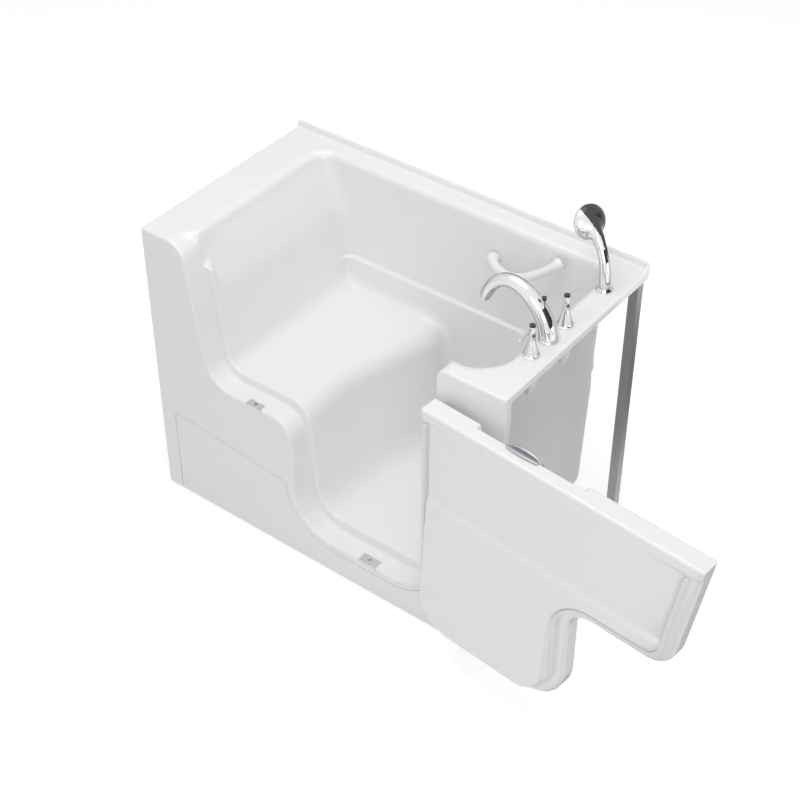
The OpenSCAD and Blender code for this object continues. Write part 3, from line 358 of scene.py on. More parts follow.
def pull_tight(field, points, reach=6.0, rounds=4):
    """Newton steps along the slope put every point of the net on the zero level."""
    h = 0.4
    for _ in range(rounds):
        x, y, z = points.T
        value = field(x, y, z)
        slope = np.stack([field(x + h, y, z) - field(x - h, y, z),
                          field(x, y + h, z) - field(x, y - h, z),
                          field(x, y, z + h) - field(x, y, z - h)], 1) / (2 * h)
        push = -value[:, None] * slope / np.maximum((slope ** 2).sum(1), 0.05)[:, None]
        size = np.linalg.norm(push, axis=1)
        points = points + push * np.minimum(1.0, reach / np.maximum(size, 1e-6))[:, None]
    return points


# %% [markdown]
# ## The moulded tub
# The real tub is one acrylic sheet, drawn down over a mould and trimmed. Seen from the front,
# one outline gives the door opening and a second one, set in from it, gives the basin with its
# seat. The basin's front and back walls round off its corners, and the seat's edge bows out.

# %% Outlines of the opening, the basin and the access panel
def opening_corners(top, shift=0):
    """The door opening up to a height, with its hinge side shifted outward."""
    edge = 163 + 77 * (DECK - top) / (DECK - LEDGE)
    return [(LEDGE_END, SILL, 150), (HINGE_SIDE + shift, SILL, 175), (HINGE_SIDE + shift, top, 0),
            (edge, top, 0), (240, LEDGE, 95), (LEDGE_END, LEDGE, 75)]


JAMB = rounded_outline(opening_corners(SKY))
BASIN_TAIL = [(262, 580, 60), (578, 580, 75)]
BASIN_HEAD = [(615, FLOOR, 95), (1218, FLOOR, 75),
              (1252 + 34 * (SKY - DECK) / (DECK - FLOOR), SKY, 0), (148, SKY, 0)]
BASIN_NEAR = rounded_outline(BASIN_HEAD + [(154, 950, 14), (214, 938, 12)] + BASIN_TAIL)
BASIN_FAR = rounded_outline(BASIN_HEAD + [(150, 1030, 180), (222, 850, 180)] + BASIN_TAIL)
PANEL_CORNERS = [(60, 6, 0), (1286, 6, 0), (1286, 338, 18), (1149, 338, 18), (1149, 91, 210),
                 (532, 91, 185), (532, 292, 9), (60, 338, 18)]
PANEL = rounded_outline(PANEL_CORNERS)
BOLTS = ((417, 13.5, LEDGE), (859, 17, SILL))


# %% The tub's distance shape
def basin_air(x, y, z, opening):
    """The hollow that holds the bather; near and far outlines meet behind the jamb."""
    bow = 82 * ease(260, 620, y) * ease(300, 520, x) * (1 - ease(720, 1080, x))
    soft = ease(78, 112, y)
    wall = away(BASIN_NEAR, x - bow, z) * (1 - soft) + away(BASIN_FAR, x - bow, z) * soft
    outside = ease(-4, 10, opening)
    left = 1 - ease(300, 500, x)
    front = JAMB_D + 18 * left * outside - y
    front_r = 0.5 + outside * np.where(x < 700, 40.0 + 45.0 * ease(700, 980, z),
                                       45.0 + 55.0 * ease(300, 700, z))
    back = y - (BACK_Y - 13 + 13 * ease(677, 687, z))
    back_r = 32 + 28 * ease(600, 760, z)
    return outer_blend(outer_blend(wall, front, front_r), back, back_r)


def rim_field(x, y):
    """The plan of the tub, with its two back corners rounded."""
    return outer_blend(np.maximum(-x, x - TUB_L), y - TUB_W, np.where(x < TUB_L / 2, 8.0, 20.0))


def tub_field(x, y, z):
    """Deck, basin, jamb with its fin, the panel's recess, and the tiling flange along the back."""
    opening = away(JAMB, x, z)
    jamb = outer_blend(opening, y - JAMB_D, 5.0)
    air = inner_blend(jamb, basin_air(x, y, z, opening), 6.0)
    strip = np.maximum(np.maximum(-(opening + 24), opening - 8), np.maximum(z - 935, 939 - x))
    fin = outer_blend(strip, np.abs(y - JAMB_D - 5) - 5, 2.0)
    deep = ease(52, 96, y)
    roll = np.where(x < 600, 58.0, 36.0) * (1 - deep) + 23.0 * deep
    body = outer_blend(z - DECK, -air, roll)
    body = inner_blend(body, np.maximum(fin, z - DECK), 3.0)
    rim = rim_field(x, y)
    recess = RELIEF * (1 - ease(12, 16, away(PANEL, x, z)))
    body = outer_blend(outer_blend(body, np.maximum(rim, -x), 6.0), recess - y, 7.0)
    wrap = outer_blend(np.maximum(rim, -10 - rim), np.maximum(1290 - x, 690 - y), 4.0)
    upstand = np.minimum(np.maximum(rim, 746 - y), wrap)
    top = FLANGE - (FLANGE - DECK + 2) * ease(12, 58, TUB_W - y)
    flange = outer_blend(upstand, z - top, 3.0)
    return np.maximum(inner_blend(body, np.maximum(flange, 900 - z), 4.0), rim)


# %% Pull the net over the tub
XS = steps((-9, 15, 4), (15, 38, 8), (38, 74, 4), (74, 95, 10), (95, 300, 6.5), (300, 470, 14),
           (470, 740, 7.5), (740, 930, 19), (930, 1105, 9), (1105, 1160, 5), (1160, 1272, 7),
           (1272, 1356, 3.5))
YS = steps((-8, 12, 3.4), (12, 64, 11), (64, 100, 3.6), (100, 190, 9), (190, 590, 19),
           (590, 700, 7.5), (700, 730, 5), (730, 766, 3))
ZS = steps((-16, 120, 17), (120, 324, 7.5), (324, 362, 4), (362, 470, 13), (470, 600, 6.5),
           (600, 664, 12), (664, 702, 2.6), (702, 900, 16), (900, 960, 6), (960, 1020, 8),
           (1020, 1076, 3.6))
points, faces = net_of(tub_field, XS, YS, ZS)
points = pull_tight(tub_field, points)
centre = points[faces].mean(1)
cx, cy, cz = centre.T
open_side = (rim_field(cx, cy) > -0.8) & (cz < DECK - 25) & (cy > 25)
faces = faces[~((cz < 10) | open_side)]
print("net over the tub:", len(points), "points,", len(faces), "faces")


# %% [markdown]
# The holes and the panel's seam are trimmed in the flat sheet while it is still thin, as a
# router does on the real one. The flat faces round a hole are taken out, and new triangles are
# laid between their border and the hole's outline.

# %% Outlines as points
def outline_points(corners, grow=0.0, arc_step=3.0):
    """The outline as points, grown by a margin, with its arcs divided into steps of degrees."""
    spots = []
    size = len(corners)
    for i in range(size):
        p, q, r = (np.array(corners[k % size][:2], float) for k in (i - 1, i, i + 1))
        n1, n2 = (q - p) / np.linalg.norm(q - p), (r - q) / np.linalg.norm(r - q)
        o1, o2 = np.array([n1[1], -n1[0]]), np.array([n2[1], -n2[0]])
        turn = n1[0] * n2[1] - n1[1] * n2[0]
        corner = q + (o1 + o2) / (1 + o1 @ o2) * grow
        radius = corners[i][2] and max(0.3, corners[i][2] + (grow if turn > 0 else -grow))
        if not radius:
            spots.append(corner)
            continue
        half = math.acos(float(-n1 @ n2)) / 2
        mid = (n2 - n1) / np.linalg.norm(n2 - n1)
        centre = corner + mid * radius / math.sin(half)
        start = corner - n1 * radius / math.tan(half) - centre
        sweep = (math.pi - 2 * half) * math.copysign(1.0, turn)
        parts = max(3, int(abs(math.degrees(sweep)) / arc_step))
        for k in range(parts + 1):
            a = sweep * k / parts
            spots.append(centre + [start[0] * math.cos(a) - start[1] * math.sin(a),
                                   start[0] * math.sin(a) + start[1] * math.cos(a)])
    return np.array(spots)


def circle(cx, cy, r, n=36):
    a = np.arange(n) * 2 * math.pi / n
    return np.stack([cx + r * np.cos(a), cy + r * np.sin(a)], 1)


def within(a, b, u, v):
    """Which points lie inside a closed outline, whose straight edges run from a to b."""
    cross = (a[:, 1, None] > v) != (b[:, 1, None] > v)
    run = (b[:, 0, None] - a[:, 0, None]) * (v - a[:, 1, None])
    rise = np.where(b[:, 1, None] == a[:, 1, None], 1e-9, b[:, 1, None] - a[:, 1, None])
    return (cross & (u < run / rise + a[:, 0, None])).sum(0) % 2 == 1


# %% Trimming a hole in the flat of a sheet
ON_FLAT = 0.06


def trim(points, faces, tris, axis, level, hole, margin, flip=False):
    """Cut a hole whose outline lies on a flat across axis 1 (depth) or 2 (height)."""
    flat = np.abs(points[:, axis] - level) < ON_FLAT
    uv = np.delete(points, axis, 1)
    near = ((uv > hole.min(0) - margin) & (uv < hole.max(0) + margin)).all(1)
    patch = flat[faces].all(1) & near[faces].all(1)
    sides = {}
    for quad in faces[patch].tolist():
        for a, b in zip(quad, quad[1:] + quad[:1]):
            sides[frozenset((a, b))] = sides.get(frozenset((a, b)), 0) + 1
    border = [tuple(side) for side, times in sides.items() if times == 1]
    nodes = sorted({a for side in border for a in side})
    index = {a: k for k, a in enumerate(nodes)}
    flat_points = [Vector(uv[a]) for a in nodes] + [Vector(h) for h in hole]
    size, n = len(nodes), len(hole)
    edges = [(index[a], index[b]) for a, b in border]
    edges += [(size + k, size + (k + 1) % n) for k in range(n)]
    spots, _, cells, origin, _, _ = delaunay_2d_cdt(flat_points, edges, [], 0, 1e-5)
    spots = np.array([tuple(v) for v in spots])
    cells = np.array(cells)
    mid = spots[cells].mean(1)
    start = np.array([uv[a] for a, _ in border])
    stop = np.array([uv[b] for _, b in border])
    cells = cells[within(start, stop, *mid.T) & ~within(hole, np.roll(hole, -1, axis=0), *mid.T)]
    number = []
    fresh = []
    for spot, source in zip(spots, origin):
        old = [k for k in source if k < size]
        if old:
            number.append(nodes[old[0]])
        else:
            number.append(len(points) + len(fresh))
            fresh.append(np.insert(spot, axis, level))
    cells = np.array(number)[cells]
    if flip:
        cells = cells[:, ::-1]
    points = np.concatenate([points, np.array(fresh)]) if fresh else points
    return points, faces[~patch], tris + cells.tolist()


TAP_X, TAP_YS, SHOWER_Y = 1288.0, (205.0, 291.0, 377.0), 584.0
PANEL_SEAM = 2.2
BOLT_HOLE, DRAIN_HOLE, OVERFLOW_HOLE = 5.6, 23.8, 12
holes = [(1, RELIEF, outline_points(PANEL_CORNERS, PANEL_SEAM), 9.5)]
holes += [(2, z, circle(x, y, BOLT_HOLE), 14) for x, y, z in BOLTS]
holes += [(2, FLOOR, circle(1090, 378, DRAIN_HOLE), 22),
          (1, JAMB_D, circle(1142, 905, OVERFLOW_HOLE), 16, True)]
holes += [(2, DECK, circle(TAP_X, y, r), 16)
          for y, r in zip(TAP_YS + (SHOWER_Y,), (17, 13, 17, 21))]
tris = []
for hole in holes:
    points, faces, tris = trim(points, faces, tris, *hole)
every = faces.tolist() + tris
used, order = np.unique(np.array([i for face in every for i in face]), return_inverse=True)
sheet, at = [], 0
for face in every:
    sheet.append(order[at:at + len(face)].tolist())
    at += len(face)
print("trimmed sheet:", len(used), "points,", len(sheet), "faces")


# %% Turning points and faces into a piece
def piece_of(name, points, faces, *materials, sharp=40.0):
    """A smooth mesh of the tub's millimetres, with edges sharp from an angle on."""
    mesh = bpy.data.meshes.new(name)
    mesh.from_pydata(to_frame(points).tolist(), [], [list(map(int, f)) for f in faces])
    for mat in materials:
        mesh.materials.append(mat)
    mesh.validate()
    mesh.polygons.foreach_set("use_smooth", [True] * len(mesh.polygons))
    if sharp:
        mesh.set_sharp_from_angle(angle=math.radians(sharp))
    obj = bpy.data.objects.new(name, mesh)
    bpy.context.scene.collection.objects.link(obj)
    return obj


def settle(obj, sharp=40.0):
    """Apply an object's modifiers and leave one plain mesh."""
    graph = bpy.context.evaluated_depsgraph_get()
    mesh = bpy.data.meshes.new_from_object(obj.evaluated_get(graph), depsgraph=graph)
    obj.modifiers.clear()
    obj.data = mesh
    for label in ("half", "aim"):  # the Geometry Nodes trees' own working values
        if label in mesh.attributes:
            mesh.attributes.remove(mesh.attributes[label])
    mesh.polygons.foreach_set("use_smooth", [True] * len(mesh.polygons))
    if sharp:
        mesh.set_sharp_from_angle(angle=math.radians(sharp))
    return obj


def report(obj):
    print(obj.name, len(obj.data.vertices), "points,",
          sum(len(p.vertices) - 2 for p in obj.data.polygons), "triangles")


def give(obj, body, slot, *nodes):
    """The piece's body, its material slot, which is not used, and the engineering nodes it is seen
    in place of.
    """
    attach(obj, body)
    if nodes:
        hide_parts(*nodes)
    report(obj)


# %% [markdown]
# The sheet gets its thickness on the hidden side, and that side shows the rough sprayed backing,
# its grey partly painted shade under the deck.

# %% Thickness of the tub
tub = piece_of("tub_moulding", points[used], sheet, ACRYLIC, BACKING_WITH_PAINTED_SHADE, sharp=0)
wall = tub.modifiers.new("wall", "SOLIDIFY")
wall.thickness, wall.offset = WALL * MM, -1.0
wall.material_offset, wall.material_offset_rim = 1, 0
settle(tub, 48)
give(tub, "tub", "acrylic", "tub_shell", "front_shell")


# %% Closed blocks and bevels
def prism(outline, depth0, depth1, axis):
    """Closed block between two copies of an outline, along axis 1 (depth) or 2 (height)."""
    n = len(outline)
    layers = [np.insert(outline, axis, d, axis=1) for d in (depth0, depth1)]
    faces = [[k, (k + 1) % n, n + (k + 1) % n, n + k] for k in range(n)]
    faces += [list(range(n))[::-1], list(range(n, 2 * n))]
    return np.concatenate(layers), [f[::-1] for f in faces] if axis == 1 else faces


def bevel(obj, width):
    mod = obj.modifiers.new("edge", "BEVEL")
    mod.width, mod.segments, mod.limit_method = width * MM, 3, "ANGLE"
    mod.angle_limit = math.radians(30)
    return settle(obj)


# %% [markdown]
# ### The access panel
# A flat sheet closes the opening in the apron, with a seam all round it. Its edge is broken.

# %% The access panel
sheet_of_panel = prism(outline_points(PANEL_CORNERS), 2.8, 6.4, 1)
panel = piece_of("service_panel", *sheet_of_panel, ACRYLIC)
bevel(panel, 1.4)
give(panel, "tub", "acrylic", "access_panel")

# %% [markdown]
# ## The door
# The door is two mouldings glued back to back, with a soft seal in the groove between them. It
# is written shut, in the opening's own coordinates, and swung about the hinge at the end.

# %% Door outlines and swing
HINGE, SWING = np.array([1122.0, -12.0]), math.radians(175.0)


def swung(points):
    points = np.asarray(points, float)
    dx, dy = points[:, 0] - HINGE[0], points[:, 1] - HINGE[1]
    c, s = math.cos(SWING), math.sin(SWING)
    return np.stack([HINGE[0] + dx * c - dy * s, HINGE[1] + dx * s + dy * c, points[:, 2]], 1)


DOOR_TOP, DOOR_GAP = 975, 5
BORE, BORE_DEPTH, CREASE = 5.8, 36, 651
DOOR = rounded_outline(opening_corners(DOOR_TOP))
INNER = rounded_outline(opening_corners(996, 17))
LATCH_RECESS = rounded_outline([(594, 798, 30), (914, 798, 30), (952, 1001, 0), (575, 1001, 0)])


def door_field(x, y, z):
    """Outer skin with its band, latch recess and bolt bores, and the bellied inner skin."""
    edge = away(DOOR, x, z) + DOOR_GAP
    back = y - 55 - 10 * ease(926, 936, z)
    body = outer_blend(outer_blend(edge, -y, 9.0), back, 9.0)
    pocket = outer_blend(away(LATCH_RECESS, x, z), y - 22, 8.0)
    body = outer_blend(body, -pocket, 4.0)
    for bolt_x, bolt_y, bolt_z in BOLTS:
        bore = np.minimum(BORE - np.hypot(x - bolt_x, y - bolt_y), bolt_z + BORE_DEPTH - z)
        body = outer_blend(body, bore, 0.6)
    fall = np.clip((CREASE - z) / 475, 0, 1)
    swell = 64 + 7 * (1 - ease(CREASE - 11, CREASE + 11, z)) + 29 * fall
    pan = outer_blend(away(INNER, x, z) + 45.6, y - swell, 13.0)
    return inner_blend(body, np.maximum(pan, 30 - y), 5.0)


# %% Pull the nets over the door
DOOR_XS = steps((160, 330, 6), (330, 406, 12), (406, 428, 2), (428, 480, 10), (480, 760, 6.5),
                (760, 848, 12), (848, 870, 2), (870, 1125, 6.5))
DOOR_YS = steps((-5, 30, 2), (30, 46, 6), (46, 104, 3.6))
DOOR_ZS = steps((118, 160, 5), (160, 330, 7), (330, 500, 15), (500, 548, 7), (548, 588, 5),
                (588, 636, 7), (636, 666, 4), (666, 780, 14), (780, 830, 5), (830, 920, 12),
                (920, 980, 3.2))
points, faces = net_of(door_field, DOOR_XS, DOOR_YS, DOOR_ZS)
door_skin = piece_of("door_skins", swung(pull_tight(door_field, points)), faces, ACRYLIC, sharp=0)
give(door_skin, "door", "acrylic", "door_outer_skin", "door_latch_pan", "door_skin_hinge",
     "door_skin_nose", "door_skin_wing", "door_inner_skin")

# %% [markdown]
# ## Turned and bent pieces
# Taps, spout, feet and rings are turned on a lathe or bent from tube. One Geometry Nodes tree
# draws a round section along a path, and a second one sets such a turned piece at every place
# where it is repeated, so all copies stay alike.

# %% Geometry Nodes: round section along a path
def new_tree(name, *inputs):
    tree = bpy.data.node_groups.new(name, "GeometryNodeTree")
    tree.interface.new_socket("Geometry", in_out="INPUT", socket_type="NodeSocketGeometry")
    for label, kind in inputs:
        tree.interface.new_socket(label, in_out="INPUT", socket_type="NodeSocket" + kind)
    tree.interface.new_socket("Geometry", in_out="OUTPUT", socket_type="NodeSocketGeometry")
    return tree, tree.nodes.new("NodeGroupInput"), tree.nodes.new("NodeGroupOutput")


def named(tree, label, kind):
    node = tree.nodes.new("GeometryNodeInputNamedAttribute")
    node.data_type = kind
    node.inputs["Name"].default_value = label
    return node.outputs["Attribute"]


def drawn(tree, path, sides):
    """A circle drawn along a path; the attribute half gives its radius at every point."""
    curve, ring, skin = (tree.nodes.new(k) for k in (
        "GeometryNodeMeshToCurve", "GeometryNodeCurvePrimitiveCircle", "GeometryNodeCurveToMesh"))
    ring.inputs["Radius"].default_value = 1.0
    skin.inputs["Fill Caps"].default_value = True
    tree.links.new(path, curve.inputs["Mesh"])
    tree.links.new(sides, ring.inputs["Resolution"])
    tree.links.new(curve.outputs[0], skin.inputs["Curve"])
    tree.links.new(ring.outputs[0], skin.inputs["Profile Curve"])
    tree.links.new(named(tree, "half", "FLOAT"), skin.inputs["Scale"])
    return skin.outputs[0]


def close_tree(tree, gin, gout, shape):
    real, paint = (tree.nodes.new("GeometryNode" + k) for k in ("RealizeInstances", "SetMaterial"))
    tree.links.new(shape, real.inputs[0])
    tree.links.new(real.outputs[0], paint.inputs["Geometry"])
    tree.links.new(gin.outputs["Finish"], paint.inputs["Material"])
    tree.links.new(paint.outputs[0], gout.inputs[0])


TUBE, gin, gout = new_tree("tube_along_path", ("Sides", "Int"), ("Finish", "Material"))
close_tree(TUBE, gin, gout, drawn(TUBE, gin.outputs["Geometry"], gin.outputs["Sides"]))

# %% Geometry Nodes: a turned piece at every place
TURNED, gin, gout = new_tree("turned_at_places", ("Profile", "Object"), ("Sides", "Int"),
                             ("Finish", "Material"))
info, stand, align = (TURNED.nodes.new(k) for k in (
    "GeometryNodeObjectInfo", "GeometryNodeInstanceOnPoints", "FunctionNodeAlignRotationToVector"))
TURNED.links.new(gin.outputs["Profile"], info.inputs["Object"])
turned_shape = drawn(TURNED, info.outputs["Geometry"], gin.outputs["Sides"])
TURNED.links.new(turned_shape, stand.inputs["Instance"])
TURNED.links.new(gin.outputs["Geometry"], stand.inputs["Points"])
TURNED.links.new(named(TURNED, "aim", "FLOAT_VECTOR"), align.inputs["Vector"])
TURNED.links.new(align.outputs["Rotation"], stand.inputs["Rotation"])
close_tree(TURNED, gin, gout, stand.outputs[0])
print("node trees:", TUBE.name, TURNED.name)


# %% Running the trees
def path_object(name, points, **attributes):
    """A line of points that carry their own values for the trees."""
    mesh = bpy.data.meshes.new(name)
    edges = [(i, i + 1) for i in range(len(points) - 1)]
    mesh.from_pydata(np.asarray(points, float).tolist(), edges, [])
    for label, values in attributes.items():
        values = np.asarray(values, float)
        vector = values.ndim == 2
        data = mesh.attributes.new(label, "FLOAT_VECTOR" if vector else "FLOAT", "POINT").data
        data.foreach_set("vector" if vector else "value", values.ravel())
    obj = bpy.data.objects.new(name, mesh)
    bpy.context.scene.collection.objects.link(obj)
    return obj


def run_tree(obj, tree, values, sharp=40.0):
    mod = obj.modifiers.new("build", "NODES")
    mod.node_group = tree
    for item in tree.interface.items_tree:
        if item.in_out == "INPUT" and item.name in values:
            mod[item.identifier] = values[item.name]
    settle(obj, sharp)
    shape = bmesh.new()
    shape.from_mesh(obj.data)
    bmesh.ops.recalc_face_normals(shape, faces=shape.faces)
    shape.to_mesh(obj.data)
    shape.free()
    return obj


def tube(name, points, half, mat, sides=40, sharp=40.0):
    obj = path_object(name, to_frame(points), half=np.asarray(half, float) * MM)
    return run_tree(obj, TUBE, {"Sides": sides, "Finish": mat}, sharp)


def turned(name, profile, places, mat, aims=None, sides=48, sharp=40.0):
    """Profile: (height, radius) pairs from the foot up. Places are in the tub's millimetres."""
    line = np.array([(0.0, 0.0, h) for h, _ in profile]) * MM
    shape = path_object(name + "_profile", line, half=[r * MM for _, r in profile])
    aims = [(0.0, 0.0, 1.0)] * len(places) if aims is None else aims
    obj = path_object(name, to_frame(places), aim=aims)
    run_tree(obj, TURNED, {"Profile": shape, "Sides": sides, "Finish": mat}, sharp)
    bpy.data.objects.remove(shape)
    return obj


def joined(name, *objs):
    with bpy.context.temp_override(active_object=objs[0], selected_editable_objects=list(objs)):
        bpy.ops.object.join()
    objs[0].name = name
    return objs[0]


# %% [markdown]
# ### Taps
# Each tap is a turned bell with a collar. The hub above it turns and carries a thin lever with a
# smoked cap.

# %% Tap bells and levers
places = [(TAP_X, TAP_YS[0], DECK), (TAP_X, TAP_YS[2], DECK)]
cone = [(4.5 + 54 * t, 9.4 + 13 * (1 - t) ** 1.25) for t in np.linspace(0.04, 1, 15)]
bell = [(0, 25), (2.2, 25), (3, 24.4), (3.4, 23.2), (4.5, 22.6)] + cone
bell += [(59.5, 10.2), (60, 11.6), (60.6, 12), (64.2, 12), (64.8, 11.6), (65.2, 10)]
give(turned("tap_bells", bell, places, CHROME, sides=64, sharp=35), "tub", "chrome", "tap_bases")
LEVER_REACH, LEVER_H = 64, 91
HUB = [(66.2, 8.6), (66.6, 9.2), (98, 9.2), (98.6, 8.8)]
CAP = [(98.7, 8.9), (99, 9.4), (103.4, 9.4), (104.2, 8.6)]
for body, y, turn in (("left_lever", TAP_YS[0], -1.0), ("right_lever", TAP_YS[2], 1.0)):
    run = np.linspace(0, 1, 18)
    spots = [(TAP_X, y + turn * LEVER_REACH * t, DECK + LEVER_H - 5 * t ** 1.5) for t in run]
    half = [3.9 - 1.0 * t for t in run[:-1]] + [1.6]
    piece = joined(body + "_visual", turned(body + "_hub", HUB, [(TAP_X, y, DECK)], CHROME),
                   turned(body + "_cap", CAP, [(TAP_X, y, DECK)], DARK_CAP_AND_PAINTED_REFLECTION),
                   tube(body + "_arm", spots, half, CHROME, 24))
    give(piece, body, "chrome", body)

# %% [markdown]
# ### Spout and diverter
# The spout is one bent tube that tapers from its foot to the mouth, over a low ring on the deck.
# Four points of a Bezier curve give its bow. The diverter's knob stands on a rod in its foot.

# %% Spout and diverter knob
SPOUT = np.array([(TAP_X, TAP_YS[1], DECK), (TAP_X, TAP_YS[1], 1149.4),
                  (1132.5, TAP_YS[1], 1283.8), (1072, TAP_YS[1], 1100.8)])
SPOUT_RING = [(0, 29), (4, 29), (5.3, 28.4), (6, 27)]
KNOB = [(126, 4), (126.6, 6), (127.6, 6.6), (136.4, 6.6), (137.6, 5.8)]
KNOB_AT = [(1267, TAP_YS[1], DECK)]
run = np.linspace(0, 1, 56)[:, None]
spots = ((1 - run) ** 3 * SPOUT[0] + 3 * run * (1 - run) ** 2 * SPOUT[1]
         + 3 * run ** 2 * (1 - run) * SPOUT[2] + run ** 3 * SPOUT[3])
half = 28 - 10.6 * run[:, 0] ** 0.8
half[-3:] -= (0.3, 1.0, 2.6)
spout = joined("spout_visual", tube("spout_tube", spots[1:], half[1:], CHROME, 64),
               turned("spout_ring", SPOUT_RING, [SPOUT[0]], CHROME, sides=64))
give(spout, "tub", "chrome", "spout")
knob = joined("diverter_visual",
              turned("diverter_rod", [(60, 3), (128, 3)], KNOB_AT, CHROME, sides=24),
              turned("diverter_cap", KNOB, KNOB_AT, DARK_CAP_AND_PAINTED_REFLECTION, sides=40))
give(knob, "diverter", "chrome", "diverter_knob")

# %% [markdown]
# ### Hand shower
# Its body is one moulding: the grip swells and bends into the round head. It is meshed like the
# tub, as two blended shapes. A dark skin along its back is a painted dark reflection.

# %% The hand shower's distance shapes
TURN, LEAN = math.radians(24.0), math.radians(23.0)
GRIP = np.array([(0, -40), (0, 30), (3, 62), (11, 92), (27, 122), (52, 150), (78, 170)], float)
HEAD = (100.0, 176.4, 52.0)


def shower_place(x, y, z):
    """Reach, side and height from the ring's middle, then the two directions of the head's disc."""
    dx, dy, h = x - TAP_X, y - SHOWER_Y, z - DECK
    reach = dy * math.sin(TURN) - dx * math.cos(TURN)
    side = dx * math.sin(TURN) + dy * math.cos(TURN)
    up = (reach - HEAD[0]) * math.sin(LEAN) + (h - HEAD[1]) * math.cos(LEAN)
    out = (h - HEAD[1]) * math.sin(LEAN) - (reach - HEAD[0]) * math.cos(LEAN)
    return reach, side, h, up, out


def shower_field(x, y, z):
    """A grip that swells along its bent line, blended into a lens that is cut off flat."""
    reach, side, h, up, out = shower_place(x, y, z)
    best = np.full(np.broadcast(reach, side, h).shape, 1e9)
    thick = np.interp(h, [-40, 1, 4, 40, 100, 135, 160], [12.6, 12.6, 17, 16.6, 14.6, 16, 19])
    for a, b in zip(GRIP[:-1], GRIP[1:]):
        d = b - a
        t = np.clip(((reach - a[0]) * d[0] + (h - a[1]) * d[1]) / (d @ d), 0, 1)
        off = (reach - a[0] - t * d[0]) ** 2 + (h - a[1] - t * d[1]) ** 2 + side ** 2
        best = np.minimum(best, np.sqrt(off))
    deep = np.where(out > 0, 27.0, 15.0)
    lens = np.sqrt((up / HEAD[2]) ** 2 + (side / HEAD[2]) ** 2 + (out / deep) ** 2)
    lens = outer_blend((lens - 1) * 27, -out - 9, 2.0)
    return np.maximum(inner_blend(best - thick, lens, 16.0), -24 - h)


def painted_reflection_field(x, y, z):
    """A thin dark skin on the back of the body, on one side of a soft curved line: a painted dark
    reflection.
    """
    reach, side, h, up, out = shower_place(x, y, z)
    line = sum(np.interp(h + k, [84, 100, 124, 173, 212, 240], [16, 9, 4, -3, -23, -40])
               for k in (-16, -8, 0, 8, 16)) / 5
    body = shower_field(x, y, z)
    return outer_blend(np.maximum(body - 0.5, -body - 6), np.maximum(line - side, 3.0 - out), 0.5)


# %% Pull the nets over the hand shower
grid = (steps((1130, 1316, 2.5)), steps((540, 690, 2.5)), steps((1018, 1290, 2.5)))
points, faces = net_of(shower_field, *grid)
shower = piece_of("shower_body", pull_tight(shower_field, points, 3), faces, CHROME)
# The dark skin on the shower's back is a painted dark reflection of the chrome.
points, faces = net_of(painted_reflection_field, *grid)
painted_reflection_skin = piece_of("shower_inlay", pull_tight(painted_reflection_field, points, 3), faces, DARK_CAP_AND_PAINTED_REFLECTION)
give(joined("hand_shower_visual", shower, painted_reflection_skin), "hand_shower", "chrome", "hand_shower")


# %% Spray face, nozzles and the ring on the deck
def head_spot(side, up, out):
    """A place on the head's disc, in the tub's millimetres."""
    reach = HEAD[0] + up * math.sin(LEAN) - out * math.cos(LEAN)
    return (TAP_X - reach * math.cos(TURN) + side * math.sin(TURN),
            SHOWER_Y + reach * math.sin(TURN) + side * math.cos(TURN),
            DECK + HEAD[1] + up * math.cos(LEAN) + out * math.sin(LEAN))


DISC = [(0, 43), (0.9, 43), (1.6, 42)]
NOZZLE = [(0, 1.9), (1.2, 1.7), (1.8, 1.1)]
NOZZLE_ROWS = ((12, 8), (24, 16), (36, 24))
RING = [(0, 24.8), (2.6, 24.8), (4.4, 23.8), (9, 20.8), (11, 20.2), (12, 19.6), (12.2, 18.6),
        (9, 18.1), (0, 18.1)]
spray = np.array(head_spot(0, 0, -1)) - np.array(head_spot(0, 0, 0))
ends = [head_spot(*circle(0, 0, r, n)[k], -10.2) for r, n in NOZZLE_ROWS for k in range(n)]
disc = turned("spray_disc", DISC, [head_spot(0, 0, -8.6)], FACE_GREY, [spray], 64)
nozzles = turned("nozzles", NOZZLE, ends, FOOT_RUBBER, [spray] * len(ends), 10)
give(joined("shower_face_visual", disc, nozzles), "hand_shower", "face_plastic", "shower_face")
ring = turned("shower_ring_visual", RING, [(TAP_X, SHOWER_Y, DECK)], CHROME)
give(ring, "tub", "chrome", "shower_ring")

# %% [markdown]
# ### Grab bar
# The bar is a tube of white plastic over steel, swollen where it meets the wall.

# %% Grab bar
run = np.linspace(0, 1, 61)
arch = np.sin(math.pi * run)
spots = np.stack([842.6 + 238.2 * run, BACK_Y - 6.5 - 55 * arch ** 0.55,
                  917 + 80 * run - 34 * arch], 1)
end = np.minimum(run, 1 - run)
half = 15 + 6.5 * np.exp(-(end / 0.035) ** 2)
give(tube("grab_bar_visual", spots, half, ACRYLIC), "tub", "acrylic", "grab_bar")

# %% [markdown]
# ### Latch
# The handle's plate is a bright bow that stands a little over the door's edge, and a lens-shaped
# cap covers the works in the edge itself.

# %% Latch plate and cap
arc = np.linspace(0, math.pi, 33)
bow = np.stack([780 + 70 * np.cos(arc), 938 + 49 * np.sin(arc) ** 0.8], 1)
bow = np.concatenate([bow, [(712, 898), (848, 898)]])
flat, faces = prism(bow, 13.0, 21.6, 1)
plate = bevel(piece_of("latch_plate", swung(flat), faces, SCREW_STEEL), 2.4)
lens = np.stack([782 + 56 * np.cos(arc), 28 + 9 * np.sin(arc) ** 0.7], 1)
flat, faces = prism(lens, DOOR_TOP - 3, DOOR_TOP + 0.7, 2)
cap = bevel(piece_of("latch_cap", swung(flat), faces, SCREW_STEEL), 0.5)
give(joined("latch_plate_visual", plate, cap), "door", "chrome", "handle_plate")

# %% [markdown]
# ### Leveling feet
# They repeat, so one is turned and set at its four places.

